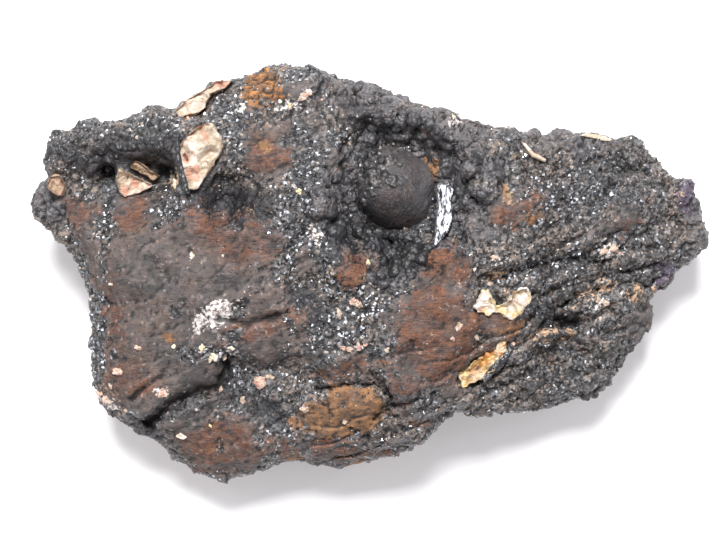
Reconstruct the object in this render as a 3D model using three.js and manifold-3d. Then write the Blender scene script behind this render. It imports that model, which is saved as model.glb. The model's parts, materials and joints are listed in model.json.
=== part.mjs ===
// A hand specimen of goethite, lying on the table with its best side up. Millimetres, +Z up.
// A broken lump of brown iron oxide rock wears a black, warty skin. A hollow in its upper side is lined by a
// goethite crust with one large smooth dome, and pale crystals are bedded in the rock.
// The origin is on the table, under the middle of the lump. +X runs along the lump to its pointed right end.
import * as THREE from "three";
import { ImprovedNoise } from "three/addons/math/ImprovedNoise.js";
import { mergeVertices } from "three/addons/utils/BufferGeometryUtils.js";
import Module from "manifold-3d";

const wasm = await Module();
wasm.setup();

// Driving sizes
const ROCK_DETAIL = 12; // subdivisions of the ball that the rock is shaped from
const MIDDLE = [0, 2]; // every point of the outline is in plain sight from here
const FACE_SHARE = 0.68; // share of the ball that becomes the upper side
const WALL_SHARE = 0.24; // share that becomes the flanks, and the rest is the flat underside
const FOOT_REACH = 0.66; // size of the flat underside, against the outline
const UNDERCUT = 1.7; // how late the flanks turn inwards on their way down
const EDGE_WIDTH = 0.15; // share of the reach over which the upper side rounds off
const EDGE_DROP = 6.5; // how far it rounds off
const LEVEL_SPREAD = 6.5; // how far one surveyed height is felt
const GAP = 0.35; // clearance round each piece that is bedded in the rock

// The outline from above, anticlockwise from the small warts at the left end.
const OUTLINE = [
  [-54, 10.5], [-52.3, 9], [-51.2, 6], [-48.5, 4.5], [-46.5, 0.5], [-45.3, -3.7], [-43.5, -7.5],
  [-44.6, -9.6], [-44.5, -13], [-43.8, -16], [-44.6, -19.5], [-43.5, -22], [-41.5, -24], [-38.5, -25.5],
  [-36.3, -26.9], [-34.6, -26.9], [-34.2, -28], [-31, -30.5], [-27.6, -32.6], [-26.9, -33.6],
  [-20.3, -33], [-16.2, -31.3], [-12, -30.9], [-8, -30.9], [-6.4, -31.8], [-4.3, -32.2], [-1, -31.4],
  [3.4, -30.2], [6.4, -28.7], [10.4, -25.8], [11.8, -22.9], [13.1, -22.2], [17.4, -23.5], [19.7, -22.6],
  [23, -22.9], [27.7, -22.1], [33, -21.5], [37.3, -20.2], [39.8, -16.6], [42, -14.4], [42.7, -11.2],
  [45.4, -9.4], [45.5, -6.4], [46.9, -3], [48.6, -1.9], [48.7, -0.2], [50.8, 0.6], [53.8, 3.3],
  [54.6, 6.4], [53.6, 8], [52.3, 9.1], [52.8, 12.9], [52.1, 14.2], [50, 14.4], [49, 15], [47.7, 16.6],
  [45.4, 18.4], [45, 19.8], [43.9, 20.6], [41.3, 21.2], [39, 21], [37.4, 21.6], [34.5, 21.5],
  [32, 21.9], [30.4, 21.9], [28, 21.3], [24.8, 22.2], [23.4, 23.1], [22, 23.2], [18.9, 23.1],
  [17, 23.5], [14.4, 25.2], [12.5, 26.1], [10.7, 25.9], [9, 27], [7.4, 26.5], [4.1, 28.2], [1.9, 29.3],
  [0.5, 30.3], [-1.1, 30.3], [-2.8, 29.8], [-5, 31.7], [-8, 32.4], [-12, 32.6], [-13.9, 33.7],
  [-15.7, 32.7], [-18.9, 31], [-21.3, 30.1], [-24.8, 29.2], [-26.8, 27.3], [-28.8, 25.6],
  [-31, 25.2], [-33.5, 26.2], [-35.4, 25.5], [-37.7, 24.3], [-41, 23.8], [-43, 23.8], [-44.9, 25],
  [-46.7, 24.3], [-47.3, 23], [-49, 22.2], [-51, 20.8], [-51.5, 18.8], [-51.3, 16.5], [-52, 13.8],
  [-53.7, 12.9],
];

// Heights of the upper side, surveyed at places across it: [x, y, height].
const LEVELS = [
  [-50, 9, 20], [-50, 19, 21], [-40, 7, 25.5], [-28.5, 2, 28.5], [-41, -10, 21], [-41, -20, 18.5],
  [-32, -20, 23], [-30, -9, 26.5], [-25, -28, 19], [-16, -19, 24.5], [-4, -22, 25], [-4.5, -30, 17],
  [-11, -5, 28.5], [0, -8, 28.5], [11, 1, 32.5], [11.5, -9, 31.5], [10, -17, 27], [-18, 21, 30],
  [-11, 13, 29.5], [-15.5, 29, 25], [-5, 29, 25], [5, 25, 26], [16, 19, 28], [18, 10, 30],
  [31, 11, 27.5], [36, 19, 22], [50, 7, 17.5], [43, 5, 22.5], [30, -1, 26], [21, -6, 28.5],
  [37, -8, 20.5], [34, -16, 18], [21, -19, 20], [-39, 22, 21], [-26, 24, 26.5],
];

// Dents in the upper side: place, half widths, turn in degrees, depth.
const HOLLOW = { at: [5.3, 10.8], size: [12, 15.5], turn: 12, depth: 11.5 };
const DENTS = [
  { at: [-36.5, 16], size: [12.5, 4.2], turn: -2, depth: 6.5 }, // the long pocket under the black roll
  { at: [-22, 11.5], size: [4.5, 5.5], turn: -35, depth: 5 },
  { at: [30.5, -10.6], size: [4.8, 2.2], turn: 8, depth: 4.5 },
  { at: [3, -21], size: [1.8, 4.5], turn: 20, depth: 3 },
  { at: [-21.5, -14.5], size: [3.8, 2.6], turn: -25, depth: 3 },
  { at: [-13, -15.5], size: [5, 1.6], turn: 10, depth: 2.2 },
  { at: [-7, -2.5], size: [5, 3], turn: -30, depth: 2 },
  { at: [6, -13], size: [2.6, 1.6], turn: 30, depth: 1.8 },
  { at: [38.5, 17.5], size: [5, 2], turn: -6, depth: 2.5 },
];

// Rounded rolls of goethite at the upper left edge, from one end of their axis to the other: [x, y, z].
const ROLLS = [
  { from: [-48, 18, 18], to: [-44.5, 19.8, 20], radius: 3.9 },
  { from: [-45, 20, 20.5], to: [-34, 20.9, 22], radius: 3.5 },
  { from: [-35, 21.2, 22], to: [-31, 20.8, 23.5], radius: 3.9 },
];
const ROLL_DETAIL = 2;

// Broken ledges: the rock is lower on the left of each line, and the drop fades out over the reach.
const LEDGES = [
  { from: [-14.9, -11.8], to: [-34.6, -26.5], drop: 3.6, reach: 9 },
  { from: [47.5, 2], to: [14, -12.5], drop: 2.6, reach: 8 },
  { from: [46, -4], to: [23.5, -12.8], drop: 2.4, reach: 9 },
  { from: [50, 8], to: [21, 0.5], drop: 1.5, reach: 6 },
  { from: [-1, -24.5], to: [12, -16.5], drop: -1.8, reach: 5 },
];
const LEDGE_WIDTH = 0.9;

// Warts of goethite grown on the rock: [x, y, radius].
const WARTS = [
  [-51.6, 12, 2.2], [-51.8, 9.4, 2.2], [-49, 20.4, 2.3], [-44.8, 22.8, 2.2], [-34, 24.2, 2.3],
  [-48.5, 5.9, 1.8], [-1, 28.4, 2], [-9, 30.3, 2.2], [3.8, 26.4, 1.9], [8.3, 24.9, 2.2],
  [11.6, 23.9, 2.4], [15.2, 22.4, 2.2], [22.6, 21.2, 2], [31.3, 19.8, 2.3], [36.8, 19.8, 1.9],
  [41.5, 18.9, 2.2], [50.4, 12.3, 2.2], [50.3, 9.6, 2.1], [51.3, 5.9, 2.6], [46.9, -1.4, 2],
  [45.2, -7.6, 1.9], [17.2, 17.6, 2.3], [19.9, 19.4, 1.9], [18.4, 13.9, 2.3], [-7.6, 10.8, 1.9],
  [28.2, -9.2, 2.4], [32.2, -17.8, 1.9], [38.6, -12.4, 1.9],
];
const WART_RISE = 0.2; // share of its radius by which a wart's centre stands above the rock

// The crust in the hollow
const CRUST_DETAIL = 4;
const DOME_DETAIL = 3;
const CRUST_REACH = 0.9; // size of the crust, against the hollow
const CRUST_THICK = 2.4; // how deep it is bedded below the bare hollow
const CRUST_PROUD = 0.5; // how high it stands above the bare hollow
const DOME = { at: [4.3, 13], radius: 6.9, top: 26 };
const GRAPES = { count: 36, smallest: 1.4, largest: 2.3, reach: 0.8 };
const PLAIN_BALL = 2.05; // a ball smaller than this radius has 20 faces, and a larger one 80
const GOLDEN_ANGLE = Math.PI * (3 - Math.sqrt(5));

// The pale crystals. Each is a prism on the outline of its broken face, from its buried foot to its top,
// and the top leans by the two slopes along X and Y.
const CRYSTALS = [
  {
    name: "kite_crystal", colour: 0xdcc6b4, foot: 15, top: 29.8, lean: [-0.1, 0.22], collar: 1.1,
    outline: [
      [-26, 23], [-24.2, 23.4], [-22.9, 21.3], [-22.6, 19.6], [-23.4, 17.8], [-25.2, 15], [-26.8, 12.6],
      [-28.5, 12.3], [-29.1, 14], [-29.9, 19.2], [-28.4, 21.6],
    ],
  },
  {
    name: "wedge_crystal", colour: 0xd9c9ae, foot: 12, top: 24.5, lean: [-0.25, 0.1],
    outline: [
      [-39.6, 16.7], [-36.5, 15], [-34.2, 13.6], [-36.2, 12.5], [-38.6, 11.5], [-39.3, 12.4], [-39.9, 13.9],
    ],
  },
  {
    name: "blade_crystal", colour: 0xb39b82, foot: 12, top: 23.2, lean: [-0.1, 0.15],
    outline: [[-37.7, 16.6], [-34.1, 14.3], [-33.2, 15.1], [-37, 17.6]],
  },
  {
    name: "rim_crystal", colour: 0xe2d2b2, foot: 16, top: 23.5, lean: [0.12, -0.1],
    outline: [
      [-31, 25.3], [-28.6, 27.5], [-26.3, 28.9], [-24.1, 30.3], [-21.4, 30.6], [-22.4, 29.3],
      [-25, 28.2], [-25.8, 26.2], [-27.2, 24.8], [-30, 24.3],
    ],
  },
  {
    name: "corner_crystal", colour: 0xa9805f, foot: 12, top: 22, lean: [0.1, -0.1],
    outline: [
      [-51, 15.3], [-51.3, 13.6], [-50.4, 12.5], [-48.7, 11.8], [-48.2, 13.2], [-49.2, 15.4],
    ],
  },
  {
    name: "white_crystal", colour: 0xe9ddcb, foot: 20, top: 28.9, lean: [-0.06, 0.1],
    outline: [
      [16.3, -5.6], [18.4, -7.2], [20.6, -6.5], [22.7, -7.7], [24.4, -6.2], [25.8, -4], [25.2, -2.9],
      [24, -2.6], [22.4, -3.9], [21.6, -5.1], [19.9, -5.5], [19.1, -4.4], [18.9, -3.2], [17.8, -3],
    ],
  },
  {
    name: "cream_crystal", colour: 0xd6a265, foot: 15, top: 24.9, lean: [0.04, 0.16],
    outline: [
      [14.2, -16.6], [14.9, -18.6], [16.5, -17.9], [18.4, -17], [20.6, -14.7], [22.1, -12.3],
      [21.8, -11], [21.1, -10.8], [20.4, -12.5], [17.6, -13.9],
    ],
  },
];
const CRYSTAL_TAPER = 0.93; // size of a crystal's top, against its foot

const noise = new ImprovedNoise();

function smoothstep(low, high, value) {
  const t = Math.min(1, Math.max(0, (value - low) / (high - low)));
  return t * t * (3 - 2 * t);
}

// Small random lumpiness, from -1 to 1 or so, with features of the given size.
function lumpiness(x, y, z, size) {
  return noise.noise(x / size + 40, y / size + 40, z / size + 40);
}

// Distance from the middle to the outline, in the direction of the angle.
function outlineReach(angle) {
  const [dx, dy] = [Math.cos(angle), Math.sin(angle)];
  let reach = 0;
  OUTLINE.forEach(([ax, ay], i) => {
    const [bx, by] = OUTLINE[(i + 1) % OUTLINE.length];
    const [ex, ey] = [bx - ax, by - ay];
    const [px, py] = [ax - MIDDLE[0], ay - MIDDLE[1]];
    const across = dx * ey - dy * ex;
    const along = (px * ey - py * ex) / across;
    const share = (px * dy - py * dx) / across;
    if (along > 0 && share >= -1e-9 && share <= 1 + 1e-9) reach = Math.max(reach, along);
  });
  return reach;
}

// How far a point is from the middle of a dent: 0 at the middle and 1 at its edge.
function dentReach({ at, size, turn }, x, y) {
  const [c, s] = [Math.cos(turn * THREE.MathUtils.DEG2RAD), Math.sin(turn * THREE.MathUtils.DEG2RAD)];
  const [dx, dy] = [x - at[0], y - at[1]];
  return Math.hypot((dx * c + dy * s) / size[0], (dy * c - dx * s) / size[1]);
}

function dentDepth(dent, x, y) {
  const reach = dentReach(dent, x, y);
  return reach < 1 ? dent.depth * (1 - reach ** 2.5) : 0;
}

// The surveyed heights, blended.
function level(x, y) {
  let [sum, weights] = [0, 0];
  for (const [px, py, height] of LEVELS) {
    const weight = Math.exp(-((x - px) ** 2 + (y - py) ** 2) / (2 * LEVEL_SPREAD ** 2)) + 1e-6;
    sum += weight * height;
    weights += weight;
  }
  return sum / weights;
}

function ledgeDrop({ from, to, drop, reach }, x, y) {
  const [ex, ey] = [to[0] - from[0], to[1] - from[1]];
  const length = Math.hypot(ex, ey);
  const along = ((x - from[0]) * ex + (y - from[1]) * ey) / length ** 2;
  const left = ((y - from[1]) * ex - (x - from[0]) * ey) / length + 1.6 * lumpiness(x, y, 0, 5);
  const ends = smoothstep(-0.08, 0.08, along) * smoothstep(1.08, 0.92, along);
  return drop * ends * smoothstep(-LEDGE_WIDTH, LEDGE_WIDTH, left) * Math.exp(-Math.max(0, left) / reach);
}

// Height of the bare upper side, without small roughness. share is 0 at the middle and 1 at the outline.
function faceHeight(x, y, share) {
  let z = level(x, y) - dentDepth(HOLLOW, x, y);
  for (const dent of DENTS) z -= dentDepth(dent, x, y);
  for (const ledge of LEDGES) z -= ledgeDrop(ledge, x, y);
  z -= EDGE_DROP * Math.max(0, (share - 1 + EDGE_WIDTH) / EDGE_WIDTH) ** 2;
  return z;
}

function faceShare(x, y) {
  const [dx, dy] = [x - MIDDLE[0], y - MIDDLE[1]];
  return Math.hypot(dx, dy) / outlineReach(Math.atan2(dy, dx));
}

function roughness(x, y, z) {
  return 1.9 * lumpiness(x, y, z, 7) + 1.1 * lumpiness(x, y, z, 3.1);
}

// Where a point of the unit ball goes on the rock.
function rockPoint(direction) {
  const share = (1 - direction.z) / 2;
  const angle = Math.atan2(direction.y, direction.x);
  const reach = outlineReach(angle);
  const place = (t) => [MIDDLE[0] + reach * t * Math.cos(angle), MIDDLE[1] + reach * t * Math.sin(angle)];
  if (share < FACE_SHARE) {
    const t = Math.sqrt(share / FACE_SHARE);
    const [x, y] = place(t);
    return [x, y, faceHeight(x, y, t) + roughness(x, y, 0)];
  }
  const down = (share - FACE_SHARE) / WALL_SHARE;
  if (down < 1) {
    const [rimX, rimY] = place(1);
    const rim = faceHeight(rimX, rimY, 1) + roughness(rimX, rimY, 0);
    const z = rim * (1 - down);
    const jut = 0.1 * Math.sin(Math.PI * down) * lumpiness(rimX, rimY, z * 1.4, 11);
    const [x, y] = place(1 - (1 - FOOT_REACH) * down ** UNDERCUT + jut);
    return [x, y, z];
  }
  const t = FOOT_REACH * Math.sqrt((1 - share) / (1 - FACE_SHARE - WALL_SHARE));
  return [...place(t), 0];
}

// A ball of even triangles, each vertex moved to where shape says.
function shapedBall(detail, shape) {
  const ball = new THREE.IcosahedronGeometry(1, detail);
  const position = ball.attributes.position;
  const direction = new THREE.Vector3();
  for (let i = 0; i < position.count; i++) {
    direction.fromBufferAttribute(position, i).normalize();
    position.setXYZ(i, ...shape(direction));
  }
  return ball;
}

function toSolid(geometry) {
  const bare = geometry.clone();
  bare.deleteAttribute("normal");
  bare.deleteAttribute("uv");
  const merged = mergeVertices(bare, 1e-4);
  return new wasm.Manifold(
    new wasm.Mesh({
      numProp: 3,
      vertProperties: merged.attributes.position.array,
      triVerts: new Uint32Array(merged.index.array),
    }),
  );
}

function toGeometry(solid) {
  const { vertProperties, triVerts, numProp } = solid.getMesh();
  const corners = new Float32Array(triVerts.length * 3);
  triVerts.forEach((vertex, i) =>
    corners.set(vertProperties.subarray(vertex * numProp, vertex * numProp + 3), i * 3),
  );
  const geometry = new THREE.BufferGeometry();
  geometry.setAttribute("position", new THREE.BufferAttribute(corners, 3));
  geometry.computeVertexNormals();
  return geometry;
}

// The largest of a solid's separate bodies: a cut can leave a crumb behind.
function mainBody(solid) {
  return solid.decompose().reduce((a, b) => (a.volume() > b.volume() ? a : b));
}

function ball(x, y, z, radius) {
  const detail = radius < PLAIN_BALL ? 0 : 1;
  return toSolid(new THREE.IcosahedronGeometry(radius, detail).translate(x, y, z));
}

// A ball drawn out along an axis.
function roll({ from, to, radius }) {
  const [start, end] = [new THREE.Vector3(...from), new THREE.Vector3(...to)];
  const axis = end.clone().sub(start).normalize();
  return toSolid(
    shapedBall(ROLL_DETAIL, (direction) => {
      const middle = start.clone().lerp(end, smoothstep(-0.4, 0.4, direction.dot(axis)));
      return middle.addScaledVector(direction, radius).toArray();
    }),
  );
}

// The outline moved outwards by a distance, with its corners kept sharp.
function grown(outline, distance) {
  const points = outline.map(([x, y]) => new THREE.Vector2(x, y));
  const side = THREE.ShapeUtils.isClockWise(points) ? -1 : 1;
  return points.map((point, i) => {
    const into = point.clone().sub(points.at(i - 1));
    const out = points[(i + 1) % points.length].clone().sub(point);
    const step = new THREE.Vector2(into.y, -into.x).normalize();
    step.add(new THREE.Vector2(out.y, -out.x).normalize());
    step.multiplyScalar((side * 2 * distance) / Math.max(0.8, step.lengthSq()));
    return [point.x + step.x, point.y + step.y];
  });
}

// A prism on an outline, tapered a little, whose top leans.
function prism(outline, foot, top, lean, taper) {
  const shape = new THREE.Shape(outline.map(([x, y]) => new THREE.Vector2(x, y)));
  const geometry = new THREE.ExtrudeGeometry(shape, { depth: top - foot, bevelEnabled: false, steps: 1 });
  const position = geometry.attributes.position;
  const middle = [0, 1].map((axis) => outline.reduce((sum, p) => sum + p[axis], 0) / outline.length);
  for (let i = 0; i < position.count; i++) {
    let [x, y] = [position.getX(i), position.getY(i)];
    const atTop = position.getZ(i) > (top - foot) / 2;
    if (atTop) {
      x = middle[0] + (x - middle[0]) * taper;
      y = middle[1] + (y - middle[1]) * taper;
    }
    const z = atTop ? top + lean[0] * (x - middle[0]) + lean[1] * (y - middle[1]) : foot;
    position.setXYZ(i, x, y, z);
  }
  return toSolid(geometry);
}

// The room that the crust takes in the hollow, from its bed up to a height above the bare hollow.
function crustRoom(proud, clearance) {
  return toSolid(
    shapedBall(CRUST_DETAIL, (direction) => {
      const share = (1 - direction.z) / 2;
      const angle = Math.atan2(direction.y, direction.x);
      const upper = share < 0.5;
      const t = Math.sqrt((upper ? share : 1 - share) / 0.5);
      const turn = HOLLOW.turn * THREE.MathUtils.DEG2RAD;
      const u = t * Math.cos(angle) * (HOLLOW.size[0] * CRUST_REACH + clearance);
      const v = t * Math.sin(angle) * (HOLLOW.size[1] * CRUST_REACH + clearance);
      const x = HOLLOW.at[0] + u * Math.cos(turn) - v * Math.sin(turn);
      const y = HOLLOW.at[1] + u * Math.sin(turn) + v * Math.cos(turn);
      const bare = faceHeight(x, y, 0);
      const top = bare + proud * (0.3 + 0.7 * Math.sqrt(1 - t * t));
      return [x, y, upper ? top : bare - CRUST_THICK - clearance];
    }),
  );
}

// Places for the small round grapes of the crust, spread evenly over it by the golden angle.
function grapePlaces() {
  const places = [];
  const turn = HOLLOW.turn * THREE.MathUtils.DEG2RAD;
  for (let i = 0; i < GRAPES.count; i++) {
    const t = GRAPES.reach * Math.sqrt((i + 0.5) / GRAPES.count);
    const angle = i * GOLDEN_ANGLE;
    const u = t * HOLLOW.size[0] * Math.cos(angle);
    const v = t * HOLLOW.size[1] * Math.sin(angle);
    const x = HOLLOW.at[0] + u * Math.cos(turn) - v * Math.sin(turn);
    const y = HOLLOW.at[1] + u * Math.sin(turn) + v * Math.cos(turn);
    const size = 0.5 + 0.5 * Math.sin(i * 2.3);
    const radius = GRAPES.smallest + (GRAPES.largest - GRAPES.smallest) * size;
    const clear = Math.hypot(x - DOME.at[0], y - DOME.at[1]) > DOME.radius * 0.95;
    if (clear) places.push([x, y, radius]);
  }
  return places;
}

function crustSolid() {
  let crust = crustRoom(CRUST_PROUD, 0);
  crust = crust.add(
    toSolid(
      new THREE.IcosahedronGeometry(DOME.radius, DOME_DETAIL).translate(...DOME.at, DOME.top - DOME.radius),
    ),
  );
  for (const [x, y, radius] of grapePlaces()) {
    crust = crust.add(ball(x, y, faceHeight(x, y, 0) + CRUST_PROUD, radius));
  }
  return mainBody(crust.intersect(crustRoom(30, 0)));
}

function rockSolid() {
  let rock = toSolid(shapedBall(ROCK_DETAIL, rockPoint));
  for (const axis of ROLLS) rock = rock.add(roll(axis));
  for (const [x, y, radius] of WARTS) {
    const height = faceHeight(x, y, faceShare(x, y)) + roughness(x, y, 0);
    rock = rock.add(ball(x, y, height + WART_RISE * radius, radius));
  }
  for (const { outline, collar, foot, top, lean } of CRYSTALS) {
    if (collar) rock = rock.add(prism(grown(outline, collar), foot, top - 0.8, lean, CRYSTAL_TAPER));
  }
  for (const { outline, foot, top, lean } of CRYSTALS) {
    rock = rock.subtract(prism(grown(outline, GAP), foot - GAP, top + 8, lean, 1));
  }
  return mainBody(rock.subtract(crustRoom(31, GAP)));
}

function stoneMaterial(colour, roughnessValue, metalness) {
  return new THREE.MeshStandardMaterial({ color: colour, roughness: roughnessValue, metalness });
}

const specimen = new THREE.Group();

function addMesh(name, solid, material) {
  const mesh = new THREE.Mesh(toGeometry(solid), material);
  mesh.name = name;
  specimen.add(mesh);
}

addMesh("rock", rockSolid(), stoneMaterial(0x3a3330, 0.6, 0));
addMesh("hollow_crust", crustSolid(), stoneMaterial(0x1c1a1b, 0.35, 0.1));
for (const { name, colour, outline, foot, top, lean } of CRYSTALS) {
  addMesh(name, prism(outline, foot, top, lean, CRYSTAL_TAPER), stoneMaterial(colour, 0.5, 0));
}

export default specimen;
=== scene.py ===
# %% [markdown]
# # A goethite hand specimen
# This lesson dresses a plain faceted stone as the real one looks: a broken lump of brown iron oxide rock
# with a glittering black crust, a smooth dome in a hollow, small round grapes of goethite and a few pale
# crystals. The faceted stone is loaded first. It is the frame: nothing in it is moved, and each new piece
# sits on it.

# %% Load the faceted stone
import itertools
import json
import math

import bmesh
import bpy
import numpy as np
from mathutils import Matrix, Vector
from mathutils.bvhtree import BVHTree
from mathutils.kdtree import KDTree


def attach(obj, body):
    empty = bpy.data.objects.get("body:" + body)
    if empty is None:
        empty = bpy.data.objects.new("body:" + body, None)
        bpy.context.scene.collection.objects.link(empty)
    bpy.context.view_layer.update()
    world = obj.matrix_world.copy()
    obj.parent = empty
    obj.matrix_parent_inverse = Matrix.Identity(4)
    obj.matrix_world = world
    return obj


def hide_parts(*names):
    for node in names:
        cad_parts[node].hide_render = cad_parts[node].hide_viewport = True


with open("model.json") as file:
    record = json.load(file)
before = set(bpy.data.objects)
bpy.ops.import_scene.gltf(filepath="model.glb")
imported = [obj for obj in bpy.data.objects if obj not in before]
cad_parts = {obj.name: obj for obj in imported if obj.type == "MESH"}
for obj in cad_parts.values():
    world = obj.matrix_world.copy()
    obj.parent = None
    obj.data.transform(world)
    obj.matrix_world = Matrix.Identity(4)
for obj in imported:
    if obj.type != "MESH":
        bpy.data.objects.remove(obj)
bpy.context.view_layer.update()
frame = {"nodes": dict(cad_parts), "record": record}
MM = 0.001
print("nodes:", ", ".join(frame["nodes"]))

# %% [markdown]
# ## Camera, floor and light
# The stone lies on a white table and the camera looks straight down on it, from far enough away that the
# perspective is weak. Places that are read off the photograph are pixels of its 720 by 540 frame, and one
# function turns them into millimetres on the stone.

# %% Camera
MM_PER_PIXEL = 0.16
SCALE_HEIGHT_MM = 20
STONE_MIDDLE_PX = (368, 271)
FRAME_PX = (720, 540)
LENS_MM = 135
SENSOR_MM = 36


def stone_mm(px, py):
    """Where a pixel of the photograph lies on the stone, in millimetres."""
    return (px - STONE_MIDDLE_PX[0]) * MM_PER_PIXEL, (STONE_MIDDLE_PX[1] - py) * MM_PER_PIXEL


def new_object(name, data):
    """An object in the scene with this mesh, camera or lamp."""
    thing = bpy.data.objects.new(name, data)
    bpy.context.collection.objects.link(thing)
    return thing


camera_height = FRAME_PX[0] * MM_PER_PIXEL * LENS_MM / SENSOR_MM + SCALE_HEIGHT_MM
camera_x, camera_y = stone_mm(FRAME_PX[0] / 2, FRAME_PX[1] / 2)
camera_data = bpy.data.cameras.new("camera")
camera_data.lens = LENS_MM
camera_data.sensor_width = SENSOR_MM
camera = new_object("camera", camera_data)
camera.location = (camera_x * MM, camera_y * MM, camera_height * MM)
bpy.context.scene.camera = camera
print("camera height:", round(camera_height), "mm")

# %% [markdown]
# ## A short way to write nodes
# A finish is a tree of many small nodes, and a tree is long when each node and link has its own lines. Two
# helpers make it short: a graph adds a node with its inputs filled in, and a value stands for a node's
# output, so that a sum such as 1 - brown adds the Math nodes that work it out.

# %% Node helpers


class Value:
    """A node's output. A sum with values adds its Math node to their graph."""

    def __init__(self, graph, socket):
        self.graph = graph
        self.socket = socket

    def __add__(self, other):
        return self.graph.math("ADD", self, other)

    def __sub__(self, other):
        return self.graph.math("SUBTRACT", self, other)

    def __rsub__(self, other):
        return self.graph.math("SUBTRACT", other, self)

    def __mul__(self, other):
        return self.graph.math("MULTIPLY", self, other)

    def __truediv__(self, other):
        return self.graph.math("DIVIDE", self, other)

    def __rtruediv__(self, other):
        return self.graph.math("DIVIDE", other, self)

    def __pow__(self, other):
        return self.graph.math("POWER", self, other)

    def __abs__(self):
        return self.graph.math("ABSOLUTE", self)


class Graph:
    """A node tree that is being written. Inputs are plain values or outputs of other nodes."""

    def __init__(self, tree):
        self.tree = tree

    def fill(self, node, inputs):
        for name, value in inputs.items():
            if isinstance(value, Value):
                self.tree.links.new(value.socket, node.inputs[name])
            else:
                node.inputs[name].default_value = value

    def add(self, kind, inputs=None, **settings):
        node = self.tree.nodes.new(kind)
        for name, value in settings.items():
            setattr(node, name, value)
        self.fill(node, inputs or {})
        return node

    def out(self, kind, output=0, inputs=None, **settings):
        """Adds a node and gives one of its outputs."""
        return Value(self, self.add(kind, inputs, **settings).outputs[output])

    def outs(self, kind, inputs=None, **settings):
        """Adds a node and gives all its outputs by name."""
        return {socket.name: Value(self, socket) for socket in self.add(kind, inputs, **settings).outputs}

    def math(self, operation, *values):
        return self.out("ShaderNodeMath", 0, dict(enumerate(values)), operation=operation)

    def vector(self, operation, *values):
        return self.out("ShaderNodeVectorMath", "Vector", dict(enumerate(values)), operation=operation)

    def scaled(self, vector, factor):
        inputs = {"Vector": vector, "Scale": factor}
        return self.out("ShaderNodeVectorMath", "Vector", inputs, operation="SCALE")

    def step(self, value, low, high, to_low=0.0, to_high=1.0):
        """A value that goes smoothly from to_low to to_high while the given one goes from low to high."""
        inputs = {"Value": value, "From Min": low, "From Max": high, "To Min": to_low, "To Max": to_high}
        return self.out("ShaderNodeMapRange", "Result", inputs, interpolation_type="SMOOTHSTEP")

    def mix(self, factor, a, b, blend="MIX"):
        return self.out("ShaderNodeMix", 2, {0: factor, 6: a, 7: b}, data_type="RGBA", blend_type=blend)

    def over(self, colour, other, value, low, high, share=1.0):
        """A colour with another laid over it, by up to that share, where a value goes from low to high."""
        return self.mix(self.step(value, low, high, 0.0, share), colour, other)

    def noise(self, vector, size_mm, detail=2.0, rough=0.5, output=0):
        inputs = {"Vector": vector, "Scale": 1 / (size_mm * MM), "Detail": detail, "Roughness": rough}
        return self.out("ShaderNodeTexNoise", output, inputs)

    def cells(self, vector, size_mm, output):
        return self.out("ShaderNodeTexVoronoi", output, {"Vector": vector, "Scale": 1 / (size_mm * MM)})

    def parts(self, colour):
        """The three parts of a random colour, which are three random numbers."""
        return list(self.outs("ShaderNodeSeparateColor", {0: colour}).values())

    def stretched(self, vector, turn, scale):
        return self.out("ShaderNodeMapping", 0, {"Vector": vector, "Rotation": (0, 0, turn), "Scale": scale})

    def kept(self, name):
        """A field that the mesh keeps, such as how brown the rock is."""
        if self.tree.type == "GEOMETRY":
            return self.out("GeometryNodeInputNamedAttribute", "Attribute", {"Name": name}, data_type="FLOAT")
        return self.out("ShaderNodeAttribute", "Fac", attribute_name=name)

    def bump(self, height, strength, distance_mm, **normal):
        inputs = {"Height": height, "Strength": strength, "Distance": distance_mm * MM, **normal}
        return self.out("ShaderNodeBump", 0, inputs)


def rgba(red, green, blue):
    return (red, green, blue, 1.0)


def new_material(name):
    """An empty material with its graph, its principled shader and its object coordinates."""
    material = bpy.data.materials.new(name)
    material.use_nodes = True
    graph = Graph(material.node_tree)
    shader = material.node_tree.nodes["Principled BSDF"]
    return material, graph, shader, graph.out("ShaderNodeTexCoord", "Object")


# %% Floor, world and lights
FLOOR_HALF = 1.5
FLOOR_GAP = 0.0002
floor_mesh = bpy.data.meshes.new("floor")
corners = [(-FLOOR_HALF, -FLOOR_HALF, 0), (FLOOR_HALF, -FLOOR_HALF, 0)]
corners += [(FLOOR_HALF, FLOOR_HALF, 0), (-FLOOR_HALF, FLOOR_HALF, 0)]
floor_mesh.from_pydata(corners, [], [(0, 1, 2, 3)])
floor = new_object("floor", floor_mesh)
floor.location.z = -FLOOR_GAP
floor_paint, graph, shader, _ = new_material("white_table")
table_glow = {"Emission Color": rgba(1.0, 0.97, 0.98), "Emission Strength": 0.12}
graph.fill(shader, {"Base Color": rgba(0.9, 0.9, 0.91), "Roughness": 0.9, **table_glow})
floor_mesh.materials.append(floor_paint)

world = bpy.data.worlds.new("white_room")
world.use_nodes = True
room_light = {"Color": rgba(0.98, 0.95, 0.97), "Strength": 0.68}
Graph(world.node_tree).fill(world.node_tree.nodes["Background"], room_light)
bpy.context.scene.world = world
bpy.context.scene.view_settings.view_transform = "Standard"


def soft_light(name, place, size, watts, colour=(1, 1, 1)):
    """A square lamp that faces the stone."""
    data = bpy.data.lights.new(name, "AREA")
    data.size = size
    data.energy = watts
    data.color = colour
    lamp = new_object(name, data)
    lamp.location = place
    lamp.rotation_euler = (-Vector(place)).to_track_quat("-Z", "Y").to_euler()


soft_light("window", (-0.05, 0.42, 0.84), 0.26, 13.4)
soft_light("side_window", (0.6, 0.25, 0.75), 0.1, 0.3, (0.92, 0.95, 1.0))
soft_light("far_lamp", (-0.5, 0.3, 0.8), 0.1, 0.4)
print("white table, white room and three soft lamps")

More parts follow.
